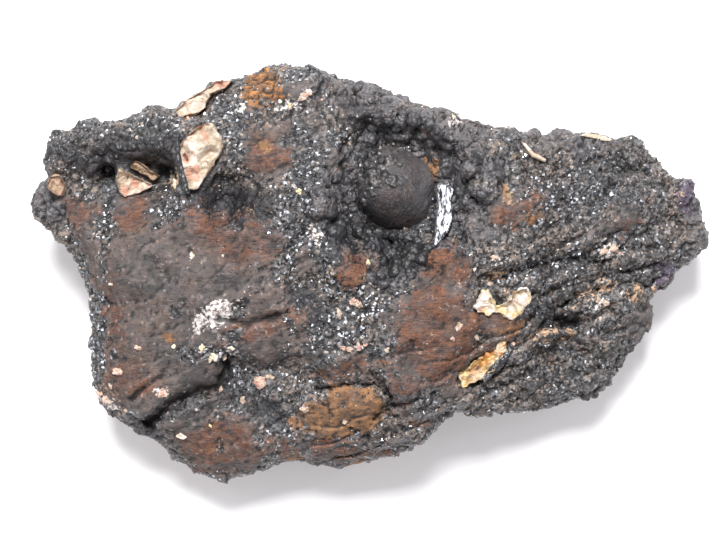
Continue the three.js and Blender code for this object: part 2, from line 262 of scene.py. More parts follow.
# %% [markdown]
# ## The skin of the rock
# The rock is one body, so it gets one skin. The faceted rock, the crust in its hollow and slightly sunk
# copies of the crystals are put together and remeshed as one volume, which closes the thin gaps round the
# crystals. A subdivision then gives the skin faces of less than half a millimetre. Sculpting by hand would
# be the other way, but a rule gives the same stone each time the script runs.

# %% Merge and remesh
SKIN_VOXEL_MM = 0.94
SOCKET_FILL_MM = 0.4
CRYSTAL_SINK_MM = 2.2
CRUST_GROW_MM = 0.3
MERGE_REACH = 1e-6
CRYSTALS = [name for name in frame["nodes"] if name.endswith("_crystal")]


def merged_copy(node, grow=0.0, sink=0.0):
    """A bmesh of a node, its loose triangles merged, grown along its normals and lowered."""
    bm = bmesh.new()
    bm.from_mesh(frame["nodes"][node].data)
    bmesh.ops.remove_doubles(bm, verts=bm.verts, dist=MERGE_REACH)
    bm.normal_update()
    for vertex in bm.verts:
        vertex.co += vertex.normal * grow * MM
        vertex.co.z -= sink * MM
    return bm


def mesh_of(bm, name):
    mesh = bpy.data.meshes.new(name)
    bm.to_mesh(mesh)
    bm.free()
    return mesh


def joined(name, meshes):
    """One object of several meshes."""
    bm = bmesh.new()
    for mesh in meshes:
        bm.from_mesh(mesh)
    return new_object(name, mesh_of(bm, name))


def settled(piece):
    """The piece with its modifiers turned into plain mesh."""
    bpy.context.view_layer.update()
    deps = bpy.context.evaluated_depsgraph_get()
    mesh = bpy.data.meshes.new_from_object(piece.evaluated_get(deps))
    piece.modifiers.clear()
    old = piece.data
    piece.data = mesh
    bpy.data.meshes.remove(old)
    mesh.name = piece.name
    return piece


def remeshed(piece, voxel_mm, smooth=3, levels=1):
    """The piece as one closed skin of even squares."""
    remesh = piece.modifiers.new("remesh", "REMESH")
    remesh.mode = "VOXEL"
    remesh.voxel_size = voxel_mm * MM
    soften = piece.modifiers.new("soften", "SMOOTH")
    soften.iterations = smooth
    if levels:
        fine = piece.modifiers.new("fine", "SUBSURF")
        fine.levels = fine.render_levels = levels
    return settled(piece)


parts = [mesh_of(merged_copy("rock"), "rock_part")]
parts += [mesh_of(merged_copy("hollow_crust", CRUST_GROW_MM), "crust_part")]
parts += [mesh_of(merged_copy(node, SOCKET_FILL_MM, CRYSTAL_SINK_MM), node + "_part") for node in CRYSTALS]
skin = remeshed(joined("rock_skin", parts), SKIN_VOXEL_MM)
print("skin faces:", len(skin.data.polygons))

# %% [markdown]
# ## Where each finish lies
# The real stone is not one colour. Brown rock shows where the black crust broke away, and some of it has
# rusted to orange. Each patch is an outline or an ellipse, its edge is warped by noise, and the skin keeps
# how far each point is inside as a field that the materials and the Geometry Nodes read later.

# %% Random fields


def lumps(points, size, seed=0):
    """Smooth random values from -1 to 1 at points in millimetres, with lumps of that size."""
    scaled = points / size + 31.7 + 11.3 * seed
    cell = np.floor(scaled).astype(np.int64)
    share = scaled - cell
    share = share * share * (3 - 2 * share)
    total = np.zeros(len(points))
    for corner in itertools.product((0, 1), repeat=3):
        at = cell + np.array(corner)
        key = (at[:, 0] * 73856093) ^ (at[:, 1] * 19349663) ^ (at[:, 2] * 83492791) ^ (seed * 6542989)
        key = ((key ^ (key >> 13)) * 1274126177) & 0x7FFFFFFF
        value = ((key ^ (key >> 15)) & 0xFFFF) / 32767.5 - 1
        weight = np.prod(np.where(np.array(corner), share, 1 - share), axis=1)
        total += weight * value
    return total


def smoothstep(low, high, value):
    t = np.clip((value - low) / (high - low), 0, 1)
    return t * t * (3 - 2 * t)


# %% Shapes of patches


def inside_outline(points, outline_px):
    """How deep each point is inside a closed outline, in millimetres, and negative outside."""
    outline = np.array([stone_mm(*corner) for corner in outline_px])
    deep = np.full(len(points), 1e9)
    odd = np.zeros(len(points), bool)
    for (ax, ay), (bx, by) in zip(outline, np.roll(outline, -1, axis=0)):
        edge = np.array([bx - ax, by - ay])
        along = ((points[:, 0] - ax) * edge[0] + (points[:, 1] - ay) * edge[1]) / (edge @ edge)
        along = np.clip(along, 0, 1)
        away = np.hypot(points[:, 0] - ax - along * edge[0], points[:, 1] - ay - along * edge[1])
        deep = np.minimum(deep, away)
        crosses = (points[:, 1] < ay) != (points[:, 1] < by)
        with np.errstate(divide="ignore", invalid="ignore"):
            x = ax + (points[:, 1] - ay) * (bx - ax) / (by - ay)
        odd ^= crosses & (points[:, 0] < x)
    return np.where(odd, deep, -deep)


def inside_ellipse(points, px, py, half_x, half_y, turn=0):
    """The same for an ellipse, given by its middle and half widths in pixels and its turn in degrees."""
    x, y = stone_mm(px, py)
    c, s = math.cos(math.radians(turn)), math.sin(math.radians(turn))
    dx, dy = points[:, 0] - x, points[:, 1] - y
    wide, high = half_x * MM_PER_PIXEL, half_y * MM_PER_PIXEL
    reach = np.hypot((dx * c + dy * s) / wide, (dy * c - dx * s) / high)
    return (1 - reach) * min(wide, high)


def along_line(points, corners_px):
    """How far each point is from a line of straight stretches, in millimetres."""
    corners = [stone_mm(*corner) for corner in corners_px]
    best = np.full(len(points), 1e9)
    for (ax, ay), (bx, by) in zip(corners, corners[1:]):
        ex, ey = bx - ax, by - ay
        share = ((points[:, 0] - ax) * ex + (points[:, 1] - ay) * ey) / (ex * ex + ey * ey)
        share = np.clip(share, 0, 1)
        best = np.minimum(best, np.hypot(points[:, 0] - ax - share * ex, points[:, 1] - ay - share * ey))
    return best


# %% Patches of brown rock
BROWN_OUTLINES = {
    "left plate": [
        (62, 200), (100, 200), (120, 195), (160, 195), (215, 215), (262, 222), (285, 245), (272, 270),
        (284, 300), (300, 340), (285, 365), (232, 358), (218, 386), (180, 400), (152, 420), (118, 412),
        (96, 398), (97, 350), (92, 310), (84, 272), (70, 245), (58, 226),
    ],
    "lower plate": [
        (160, 425), (185, 402), (235, 395), (262, 402), (276, 440), (262, 470), (222, 478), (186, 464),
    ],
    "red patch": [
        (447, 251), (472, 255), (479, 269), (470, 290), (484, 317), (520, 320), (502, 338), (461, 368),
        (429, 391), (396, 391), (389, 368), (401, 345), (387, 315), (401, 292), (422, 271),
    ],
    "ochre patch": [
        (299, 408), (304, 417), (321, 432), (367, 433), (375, 415), (390, 403), (377, 391), (355, 389),
        (328, 392), (310, 403),
    ],
    "upper block": [(246, 130), (288, 126), (292, 160), (286, 184), (252, 182), (243, 160)],
}
BROWN_SPOTS = {
    "by the peak": (298, 92, 24, 12, 0),
    "small block": (318, 121, 11, 12, 0),
    "speck right": (335, 165, 8, 8, 0),
    "rusty speck": (276, 238, 7, 10, 0),
    "under the hollow": (353, 271, 17, 19, 0),
    "mauve patch": (348, 366, 28, 12, 5),
    "low right": (409, 384, 20, 16, 20),
    "right edge": (645, 320, 16, 19, 20),
    "lower rim": (330, 455, 46, 12, 0),
    "tan hollow floor": (559, 336, 22, 8, 8),
    "by the seam": (511, 328, 12, 10, 0),
    "ledge": (256, 325, 36, 13, 15),
    "under the ochre": (318, 446, 34, 9, 8),
    "left of the ochre": (290, 447, 12, 7, 0),
    "right of the ochre": (412, 412, 26, 8, -28),
    "below the seam": (448, 388, 20, 9, 20),
    "middle": (298, 358, 26, 9, 12),
    "gap": (308, 262, 12, 16, 0),
    "right field": (508, 208, 22, 20, 30),
    "right low field": (610, 222, 30, 10, 20),
}
CRUST_SPOTS = {
    "band": (108, 236, 6, 38, -4),
    "band top": (103, 228, 11, 12, 0),
    "druse spot": (170, 212, 15, 9, 0),
    "left notch": (106, 300, 12, 9, 0),
    "left notch low": (100, 328, 9, 20, 0),
    "by the bits": (216, 352, 24, 7, 0),
    "plate pit": (232, 336, 16, 6, 20),
    "low hollow": (146, 428, 22, 9, -15),
    "gap a": (276, 205, 20, 12, 0),
    "lower veins": (232, 405, 22, 4, 30),
    "lower veins b": (262, 432, 7, 16, 0),
    "red patch pits": (468, 292, 8, 5, 30),
    "by the grains": (478, 338, 8, 9, 0),
    "left of the ochre": (268, 412, 22, 12, -15),
}
LEFT_EDGE = [
    (50, 190), (58, 222), (72, 250), (80, 275), (90, 312), (92, 350), (92, 400), (116, 416), (146, 428),
]
EDGE_CRUST_MM = 2.6

# %% Patches of rust, ochre and pale minerals
TINT_SPOTS = {
    "left": (78, 214, 22, 17, 0),
    "second": (139, 217, 20, 18, 0),
    "plate": (235, 232, 45, 26, -20),
    "left edge": (112, 320, 18, 50, 0),
    "low": (130, 380, 30, 20, 0),
    "block": (266, 156, 20, 18, 0),
    "lower plate": (215, 445, 50, 25, 0),
    "right brown": (520, 215, 40, 18, 20),
    "mauve patch": (348, 366, 30, 14, 5),
    "low right": (409, 384, 24, 20, 20),
    "bottom": (350, 440, 90, 22, 5),
    "right end": (660, 240, 34, 20, -20),
}
RUST_SPOTS = {
    "red patch top": (455, 268, 22, 18, 0),
    "red patch low": (440, 335, 44, 46, 0),
    "red patch right": (508, 326, 14, 10, 0),
    "plate crack": (240, 246, 16, 8, -15),
    "ledge": (262, 327, 30, 10, 15),
    "under the hollow": (352, 274, 15, 15, 0),
}
OCHRE_SPOTS = {
    "ochre patch": (348, 410, 46, 26, 4),
    "peak": (264, 90, 19, 22, -60),
    "peak low": (258, 104, 12, 8, 0),
    "small": (296, 458, 9, 6, 0),
    "rim": (358, 464, 18, 4, 8),
    "spot a": (170, 336, 6, 5, 0),
    "spot b": (433, 163, 9, 15, 15),
    "spot c": (500, 191, 5, 6, 0),
    "spot d": (528, 220, 6, 6, 0),
    "spot e": (266, 147, 5, 5, 0),
    "spot f": (360, 280, 6, 5, 0),
    "seam": (485, 362, 20, 8, 40),
    "under the pair": (506, 330, 17, 5, 15),
    "tan spot": (69, 132, 6, 3, 0),
}
VIVID_SPOTS = {"peak": (264, 88, 24, 28, -60), "spot a": (170, 336, 8, 7, 0), "spot d": (528, 220, 8, 8, 0)}
VIOLET_SPOTS = {"tip": (690, 196, 10, 14, 0), "edge": (666, 277, 14, 16, 0), "low edge": (668, 300, 6, 6, 0)}
TAN_SPOTS = {
    "hollow floor": (559, 336, 22, 8, 8),
    "ledge": (600, 290, 22, 7, 20),
    "ledge end": (640, 292, 14, 8, 10),
    "by the seam": (472, 372, 14, 6, 40),
    "by the white pair": (492, 276, 10, 5, 20),
    "left low": (100, 392, 12, 6, 0),
    "over the kite": (192, 116, 6, 10, -20),
    "beside the blade": (176, 180, 7, 9, 0),
    "right field": (505, 195, 6, 12, 10),
}
PALE_SPOTS = {
    "druse": (218, 314, 25, 13, 35),
    "smear": (316, 236, 7, 12, 30),
    "row": (286, 106, 13, 4, 12),
    "upper": (243, 109, 6, 5, 0),
    "upper right": (307, 96, 8, 3, 40),
    "left corner": (106, 399, 13, 5, -25),
    "ring": (163, 393, 8, 5, 0),
    "bits a": (205, 346, 6, 5, 0),
    "bits b": (216, 356, 7, 5, 0),
    "bits c": (232, 347, 6, 5, 0),
    "right cluster": (611, 252, 14, 6, 10),
    "tan cluster": (598, 300, 12, 8, 30),
    "top bit": (455, 119, 12, 5, 10),
    "seam rim": (493, 352, 10, 5, 50),
    "right of patch": (491, 259, 5, 7, 0),
    "cream row": (354, 346, 13, 3, 8),
}

# %% Patches of grapes, shade and glitter
GRAPE_SPOTS = {
    "field": (455, 150, 52, 34, -30),
    "field low": (470, 205, 22, 42, 10),
    "top edge": (395, 108, 60, 20, -20),
    "left of dome": (340, 200, 24, 44, 0),
    "below dome": (398, 252, 55, 20, 10),
    "left end": (48, 195, 20, 24, 0),
    "top right": (560, 142, 40, 12, -8),
    "right end": (694, 215, 10, 30, 0),
}
FINE_GRAPE_SPOTS = {
    "lower right": (585, 372, 70, 44, 20),
    "roll": (120, 140, 74, 20, 2),
    "roll end": (172, 126, 22, 16, -20),
    "right knobs": (650, 285, 20, 22, 0),
    "left end": (42, 196, 12, 20, 0),
    "dark crust": (548, 300, 30, 10, 10),
    "top right": (630, 158, 40, 18, 25),
}
# Painted shade: hollows, pockets, gaps, cracks and places under overhangs, where the stone lies in shade, are
# darkened.
PAINTED_SHADE_SPOTS = {
    "hollow foot": (374, 244, 54, 30, -15),
    "foot pit": (388, 262, 14, 14, 0),
    "pocket": (140, 165, 85, 17, -2),
    "by the kite": (234, 200, 38, 24, -20),
    "under the roll": (118, 152, 68, 13, 3),
    "top of hollow": (362, 118, 24, 12, -35),
    "left of dome": (352, 225, 14, 22, 0),
    "middle gaps": (306, 300, 18, 22, 0),
    "crack end": (228, 372, 10, 14, 0),
    "lower left lip": (146, 430, 20, 10, -20),
    "pit": (366, 436, 8, 6, 0),
    "left of the ochre": (266, 407, 22, 11, -18),
    "under the overhang": (556, 322, 20, 8, 0),
}
GLINT_SPOTS = {
    "between": (312, 215, 38, 60, 0),
    "band": (108, 236, 8, 40, -4),
    "left notch": (103, 318, 12, 34, 0),
    "pits": (216, 350, 34, 12, 0),
    "middle": (330, 310, 60, 40, 30),
    "druse spot": (170, 212, 18, 10, 0),
    "ledges": (560, 262, 75, 16, 12),
    "low cluster": (530, 312, 14, 14, 0),
    "right field": (570, 195, 60, 26, 20),
    "left top": (250, 120, 20, 12, 0),
    "roll end": (170, 124, 18, 12, -20),
    "left corner": (62, 150, 11, 14, 0),
    "end": (230, 372, 20, 16, 0),
}

# %% Fields on a mesh


def patch_field(points, spots, soft_mm, outlines=()):
    """How much of a finish each point has, from 0 to 1, over all its patches."""
    warp = 1.5 * lumps(points, 3.4, 1) + 0.7 * lumps(points, 1.3, 2)
    best = np.full(len(points), -1e9)
    for outline in outlines:
        best = np.maximum(best, inside_outline(points, outline) + warp)
    for spot in spots.values():
        size = min(spot[2], spot[3]) * MM_PER_PIXEL
        best = np.maximum(best, inside_ellipse(points, *spot) + warp * min(1, size / 3))
    return smoothstep(-soft_mm, soft_mm, best)


def keep_field(mesh, name, values):
    attribute = mesh.attributes.get(name) or mesh.attributes.new(name, "FLOAT", "POINT")
    attribute.data.foreach_set("value", values.astype(np.float32))


def field_of(mesh, name):
    values = np.empty(len(mesh.vertices), np.float32)
    mesh.attributes[name].data.foreach_get("value", values)
    return values.astype(float)


def vertex_places(mesh):
    """The vertices in millimetres, as an array."""
    flat = np.empty(len(mesh.vertices) * 3, np.float32)
    mesh.vertices.foreach_get("co", flat)
    return flat.reshape(-1, 3).astype(float) / MM


def vertex_normals(mesh):
    flat = np.empty(len(mesh.vertices) * 3, np.float32)
    mesh.vertex_normals.foreach_get("vector", flat)
    return flat.reshape(-1, 3).astype(float)


def set_places(mesh, points):
    """Moves the vertices to these places in millimetres."""
    mesh.vertices.foreach_set("co", (points * MM).astype(np.float32).ravel())
    mesh.update()


def shade(mesh, smooth):
    mesh.polygons.foreach_set("use_smooth", [smooth] * len(mesh.polygons))


def dress(mesh, finish):
    """Gives the whole mesh one finish."""
    mesh.materials.clear()
    mesh.materials.append(finish)


# %% Keep the finishes on the skin
PATCHES = {
    "ochre": (OCHRE_SPOTS, 1.1),
    "tan": (TAN_SPOTS, 1.0),
    "pale": (PALE_SPOTS, 0.9),
    "vivid": (VIVID_SPOTS, 1.0),
    "violet": (VIOLET_SPOTS, 0.8),
    "glint": (GLINT_SPOTS, 2.5),
    "grape": (GRAPE_SPOTS, 1.2),
    # dark: painted shade in hollows, pockets, cracks and under overhangs.
    "dark": (PAINTED_SHADE_SPOTS, 1.5),
}
ONLY_ON_TOP = ("ochre", "tan", "pale")
FLAT_UNDERSIDE_MM = (1.5, 6.0)


def keep_finish(mesh):
    """Writes every finish of the stone on a mesh."""
    points = vertex_places(mesh)
    up = smoothstep(0.0, 0.35, vertex_normals(mesh)[:, 2])
    brown = patch_field(points, BROWN_SPOTS, 2.4, BROWN_OUTLINES.values())
    crusted = patch_field(points, CRUST_SPOTS, 1.2)
    edge = along_line(points, LEFT_EDGE) + 1.2 * lumps(points, 3.0, 4)
    crusted = np.maximum(crusted, smoothstep(EDGE_CRUST_MM, 0.4 * EDGE_CRUST_MM, edge))
    crusted = np.maximum(crusted, 0.75 * smoothstep(0.5, 0.75, lumps(points, 3.4, 14)))
    brown *= 1 - crusted
    broken_back = smoothstep(-0.2, 0.5, lumps(points, 13, 5) + 0.4 * lumps(points, 5, 6))
    keep_field(mesh, "brown", np.maximum(brown * up, broken_back * (1 - up) * 0.9))
    rust = np.maximum(patch_field(points, RUST_SPOTS, 1.6), 0.6 * patch_field(points, TINT_SPOTS, 2.0))
    keep_field(mesh, "rust", rust)
    for name, (spots, soft_mm) in PATCHES.items():
        share = patch_field(points, spots, soft_mm)
        keep_field(mesh, name, share * up if name in ONLY_ON_TOP else share)
    keep_field(mesh, "up", smoothstep(*FLAT_UNDERSIDE_MM, points[:, 2]))


def keep_crease(mesh, scale_mm):
    """Keeps how hollow the surface is at each vertex: 0 on a ridge, 0.5 on a flat, 1 in a crease."""
    start = vertex_places(mesh)
    normals = vertex_normals(mesh)
    ends = np.empty(len(mesh.edges) * 2, np.int32)
    mesh.edges.foreach_get("vertices", ends)
    ends = ends.reshape(-1, 2)
    count = np.maximum(np.bincount(ends.ravel(), minlength=len(start)), 1)

    def around(points):
        """The middle of each vertex's neighbours."""
        total = np.zeros_like(points)
        for axis in range(3):
            total[:, axis] += np.bincount(ends[:, 0], points[ends[:, 1], axis], len(points))
            total[:, axis] += np.bincount(ends[:, 1], points[ends[:, 0], axis], len(points))
        return total / count[:, None]

    near = around(start)
    far = around(near)
    deep = 0.5 * np.einsum("ij,ij->i", near - start, normals)
    deep += 0.5 * np.einsum("ij,ij->i", far - start, normals)
    keep_field(mesh, "crease", np.clip(0.5 + deep / scale_mm, 0, 1))


keep_finish(skin.data)
print("patches:", len(BROWN_OUTLINES) + len(BROWN_SPOTS), "brown,", len(GRAPE_SPOTS), "with grapes")

# %% [markdown]
# ## Pale crystals
# The pale crystals broke across, so their tops are stepped cleavage faces and their sides are flat. Each
# starts from its faceted prism, which is remeshed, then chipped: the top follows a few tilted planes, and
# the lowest of them at each place wins, as it does where flakes have come away. Noise then roughens the
# broken faces, and most on the two crystals of the right half, which are ragged.

# %% Chip the crystals
CRYSTAL_VOXEL_MM = 0.22
CHIPS = 16
CHIP_DEPTH_MM = 1.5
STAIN_SPOTS = {
    "kite streak": (209, 139, 11, 4.5, -55),
    "kite foot": (196, 176, 8, 7, 0),
    "kite left": (190, 160, 3, 6, 20),
    "kite top": (205, 129, 8, 3, 20),
    "wedge": (127, 190, 6, 5, 20),
    "wedge side": (136, 184, 4, 6, 40),
    "rim end": (222, 86, 9, 3, 10),
    "white pair": (478, 309, 6, 5, 0),
    "seam": (480, 362, 16, 4, 42),
}
# Where the crystals' pits get their maroon stain and painted shade.
PIT_SPOTS = {
    "kite pit": (189.5, 159, 1.6, 5.5, 22),
    "kite notch": (211, 128, 3.4, 1.8, -30),
    "wedge pit": (129, 179, 1.4, 4.5, -24),
    "blade": (145, 178, 9, 0.8, -32),
}


def chipped(node, seed, pit=None, ragged=1.0):
    """A crystal's detailed body. pit is a place in pixels, a reach and a depth in millimetres."""
    piece = remeshed(joined(node + "_body", [mesh_of(merged_copy(node), node)]), CRYSTAL_VOXEL_MM, 2, 0)
    mesh = piece.data
    points = vertex_places(mesh)
    normals = vertex_normals(mesh)
    low, high = points.min(axis=0), points.max(axis=0)
    generator = np.random.default_rng(seed)
    drop = np.zeros(len(points))
    for _ in range(CHIPS):
        at = low[:2] + generator.random(2) * (high - low)[:2]
        slope = generator.normal(0, 0.5, 2)
        plane = ((points[:, :2] - at) @ slope) - CHIP_DEPTH_MM * generator.random() * 0.5
        near = smoothstep(2.6, 1.4, np.hypot(*(points[:, :2] - at).T))
        drop = np.minimum(drop, np.clip(plane, -CHIP_DEPTH_MM, 0) * near)
    top = smoothstep(0.3, 0.7, normals[:, 2])
    points[:, 2] += drop * top
    if pit:
        x, y = stone_mm(pit[0], pit[1])
        away = np.hypot(points[:, 0] - x, points[:, 1] - y) / pit[2]
        points[:, 2] -= pit[3] * np.exp(-(away**2)) * top
    rough = 0.22 * lumps(points, 1.3, seed) + 0.16 * ragged * lumps(points, 0.7, seed + 1)
    rough += 0.08 * ragged * lumps(points, 0.35, seed + 2)
    points += normals * rough[:, None]
    set_places(mesh, points)
    shade(mesh, False)
    keep_field(mesh, "stain", patch_field(points, STAIN_SPOTS, 0.5))
    keep_field(mesh, "pit", patch_field(points, PIT_SPOTS, 0.2))
    keep_crease(mesh, 0.12)
    return piece


# %% Crystal finishes


def crystal_material(name, body, stain, deep, stain_share, yellow=None):
    """Cream crystal with stains in its cracks, pits stained maroon and darkened as painted shade, and painted
    shade in its creases: body, stain and deep are its three colours.
    """
    material, graph, shader, place = new_material(name)
    clouds = graph.noise(place, 3.2, 3.0, 0.6)
    fine = graph.noise(place, 0.7, 4.0, 0.65)
    cracks = abs(graph.noise(place, 2.2, 3.0, 0.6) - 0.5)
    worn_body = tuple(c * k for c, k in zip(body, (0.66, 0.6, 0.52, 1.0)))
    pit_stain_and_shade = tuple(0.6 * c for c in deep[:3]) + (1.0,)
    colour = graph.over(worn_body, body, fine + (clouds - 0.5) * 1.6, 0.3, 0.75)
    stained = clouds + (fine - 0.5) * 0.9 + graph.kept("stain") * 0.4
    colour = graph.over(colour, stain, stained, 0.85 - stain_share, 1.02 - stain_share)
    if yellow:
        colour = graph.over(colour, yellow, graph.noise(place, 2.0, 2.0), 0.45, 0.62, 0.8)
    colour = graph.over(colour, deep, cracks, 0.012, 0.0, 0.6)
    colour = graph.over(colour, deep, fine, 0.36, 0.28, 0.7)
    # Pits: a dark maroon stain, made darker still as painted shade in the hollow of each pit.
    colour = graph.over(colour, pit_stain_and_shade, graph.kept("pit") + (fine - 0.5) * 1.8, 0.45, 0.8)
    # Painted shade: the creases are darkened towards the deep colour.
    colour = graph.over(colour, deep, graph.kept("crease"), 0.62, 1.0, 0.25)
    graph.fill(shader, {"Base Color": colour, "Roughness": 0.42, "Normal": graph.bump(fine, 0.8, 0.4)})
    graph.fill(shader, {"Subsurface Weight": 0.15, "Subsurface Scale": 0.6 * MM})
    return material


CREAM = rgba(0.74, 0.65, 0.55)
CREAM_DEEP = rgba(0.17, 0.07, 0.06)
FINISHES = {
    "pale_crystal": crystal_material("cream_crystal_face", CREAM, rgba(0.55, 0.3, 0.21), CREAM_DEEP, 0.2),
    "brown_crystal": crystal_material(
        "tan_crystal_face", rgba(0.5, 0.37, 0.27), rgba(0.28, 0.15, 0.1), rgba(0.07, 0.04, 0.035), 0.28
    ),
    "white_crystal": crystal_material(
        "white_crystal_face", rgba(0.8, 0.74, 0.69), rgba(0.62, 0.42, 0.35), rgba(0.3, 0.15, 0.08), 0.2,
        rgba(0.76, 0.58, 0.29),
    ),
    "orange_crystal": crystal_material(
        "cream_seam_face", rgba(0.82, 0.68, 0.52), rgba(0.56, 0.24, 0.06), rgba(0.16, 0.08, 0.05), 0.3,
        rgba(0.78, 0.55, 0.24),
    ),
}

# %% Make the crystals
PITS = {"kite_crystal": (189, 158, 0.9, 1.4), "wedge_crystal": (130, 184, 0.8, 0.5)}
RAGGED = {"white_crystal": 2.4, "cream_crystal": 2.4}
slots = {part["node"]: part["material_slot"] for part in frame["record"]["subparts"]}
crystal_bodies = []
for seed, node in enumerate(CRYSTALS, start=41):
    crystal = chipped(node, seed, PITS.get(node), RAGGED.get(node, 1.0))
    dress(crystal.data, FINISHES[slots[node]])
    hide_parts(node)
    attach(crystal, "root")
    crystal_bodies.append(crystal)
    print(crystal.name, len(crystal.data.polygons), "faces")

# %% [markdown]
# ## Ledges, cracks and bedding
# The stone split along its bedding, which leaves low steps that all run the same way, and a few open
# cracks. Both are heights worked out at each vertex. A crack is a soft groove along a line, and bedding is
# a saw-tooth across its direction. Swellings lift or sink a place, edge shifts push the outline softly, and
# a soft top keeps the highest points from standing out.

# %% Cut the cracks and the bedding
DOME_MIDDLE_MM = (4.3, 13.0)
DOME_RADIUS_MM = 6.9
DOME_TOP_MM = 26.0
CRACKS = {
    "lower left step": ([(148, 422), (166, 408), (179, 399), (198, 388), (219, 384), (226, 362)], 2.4, 1.0),
    "plate crack": ([(132, 398), (146, 386), (160, 376)], 0.7, 0.4),
    "by the ochre": ([(373, 371), (386, 388), (391, 395)], 1.0, 0.6),
    "right of the ochre": ([(375, 417), (392, 404), (418, 394)], 1.2, 0.7),
    "ledge crack": ([(222, 318), (250, 322), (288, 312)], 1.0, 0.6),
    "upper ledge": ([(478, 282), (520, 268), (566, 258), (600, 262)], 1.3, 0.8),
    "middle ledge": ([(520, 300), (570, 284), (620, 272), (664, 262)], 1.15, 0.9),
    "lower ledge": ([(528, 318), (560, 302), (600, 288)], 1.2, 0.8),
    "under the overhang": ([(540, 326), (556, 320), (576, 322)], 1.8, 0.9),
    "under the seam": ([(462, 386), (484, 374), (504, 346)], 0.8, 0.5),
    "mauve edge": ([(318, 388), (345, 384), (376, 384)], 1.0, 0.6),
}
BEDDING_TURN = 24
BEDDING_OUTLINE = [
    (400, 405), (452, 350), (500, 330), (480, 262), (560, 235), (640, 225), (700, 235), (668, 290),
    (640, 350), (600, 402), (500, 418), (430, 470), (300, 478), (280, 440),
]
BEDDING_STEP_MM = 3.2
CRACK_DEPTH = 1.7
SWELLINGS = {
    "hollow foot": ((393, 244, 18, 10, -10), -3.4),
    "foot pit": ((388, 262, 9, 10, 0), -2.2),
    "lower pit": ((366, 436, 7, 5, 0), -1.5),
    "knob in the pocket": ((97, 172, 13, 9, 15), 1.6),
    "pocket end": ((109, 167, 10, 8, 0), 3.2),
    "beside the kite": ((236, 200, 20, 12, -20), -0.9),
}
EDGE_SHIFTS = {
    "left side": ((92, 360), 50, (-0.7, -0.2)),
    "lower left": ((190, 470), 75, (0.0, -0.7)),
    "upper edge": ((430, 95), 120, (0.0, -0.7)),
    "upper right corner": ((668, 162), 34, (0.8, 0.6)),
    "right end": ((705, 240), 26, (0.6, 0.0)),
    "lower right": ((615, 390), 50, (0.4, -0.4)),
}
DOME_CLEAR_MM = 3.0
PLATE_RISE_MM = 0.7
SOFT_TOP_MM = 30.4
SOFT_TOP_SHARE = 0.5


def away_from_crystals(points):
    """How far each point is from the nearest crystal, in millimetres."""
    corners = np.concatenate([vertex_places(body.data)[::4] for body in crystal_bodies])
    tree = KDTree(len(corners))
    for index, corner in enumerate(corners):
        tree.insert(corner, index)
    tree.balance()
    return np.array([tree.find(point)[2] for point in points])


def carve(mesh):
    """Lowers and lifts the upper side: cracks, bedding and broken roughness."""
    points = vertex_places(mesh)
    normals = vertex_normals(mesh)
    up = smoothstep(0.1, 0.5, normals[:, 2]) * smoothstep(2, 8, points[:, 2])
    wobble = 0.5 * lumps(points, 2.2, 7) + 0.25 * lumps(points, 0.9, 8)
    depth = np.zeros(len(points))
    for corners, deep, wide in CRACKS.values():
        away = np.abs(along_line(points, corners) + wobble * wide)
        depth -= CRACK_DEPTH * deep * np.exp(-((away / wide) ** 2))
    turn = math.radians(BEDDING_TURN)
    across = -points[:, 0] * math.sin(turn) + points[:, 1] * math.cos(turn)
    phase = across / BEDDING_STEP_MM + 0.9 * lumps(points, 9, 9) + 0.25 * lumps(points, 2.5, 10)
    saw = phase - np.floor(phase)
    tooth = saw * smoothstep(1.0, 0.82, saw)
    bedded = smoothstep(-1.5, 1.5, inside_outline(points, BEDDING_OUTLINE))
    depth += (0.25 + 1.15 * bedded) * (tooth - 0.4)
    from_dome = np.hypot(points[:, 0] - DOME_MIDDLE_MM[0], points[:, 1] - DOME_MIDDLE_MM[1])
    depth -= DOME_CLEAR_MM * smoothstep(DOME_RADIUS_MM + 0.6, DOME_RADIUS_MM - 1.5, from_dome)
    plate = field_of(mesh, "brown")
    depth += PLATE_RISE_MM * (plate - 0.5)
    for spot, rise in SWELLINGS.values():
        size = min(spot[2], spot[3]) * MM_PER_PIXEL
        depth += rise * smoothstep(0, 0.8 * size, inside_ellipse(points, *spot))
    points[:, 2] += depth * up
    for (px, py), reach_px, shift in EDGE_SHIFTS.values():
        x, y = stone_mm(px, py)
        share = np.exp(-((np.hypot(points[:, 0] - x, points[:, 1] - y) / (reach_px * MM_PER_PIXEL)) ** 2))
        points[:, :2] += share[:, None] * np.array(shift)
    rough = 0.35 * lumps(points, 2.6, 11) + 0.2 * lumps(points, 1.2, 12)
    rough += (1 - plate) * (0.45 * lumps(points, 2.0, 17) + 0.3 * lumps(points, 1.4, 18))
    points += normals * (rough * smoothstep(0.3, 3, points[:, 2]))[:, None]
    points[:, 2] -= (1 - SOFT_TOP_SHARE) * np.maximum(points[:, 2] - SOFT_TOP_MM, 0)
    points[:, 2] = np.maximum(points[:, 2], 0)
    set_places(mesh, points)


carve(skin.data)
crystal_away = away_from_crystals(vertex_places(skin.data))
keep_field(skin.data, "up", field_of(skin.data, "up") * smoothstep(0.3, 1.5, crystal_away))
print("cracks:", len(CRACKS), "and bedding every", BEDDING_STEP_MM, "mm")

# %% [markdown]
# ## Grain and finish of the rock
# Brown rock is torn and rusty, and the black crust on it is a mass of small crystals that face every way.
# The finish mixes the two by the fields that the skin keeps: brown, rust, ochre, tan, pale and the rest. In
# the crust each small cell gets a tone of its own and turns the normal its own way, so a few of them flash
# like crystal faces. Creases get painted shade and ridges a painted highlight, and hollows, pockets and
# places under overhangs get painted shade.

# %% Finish of the rock


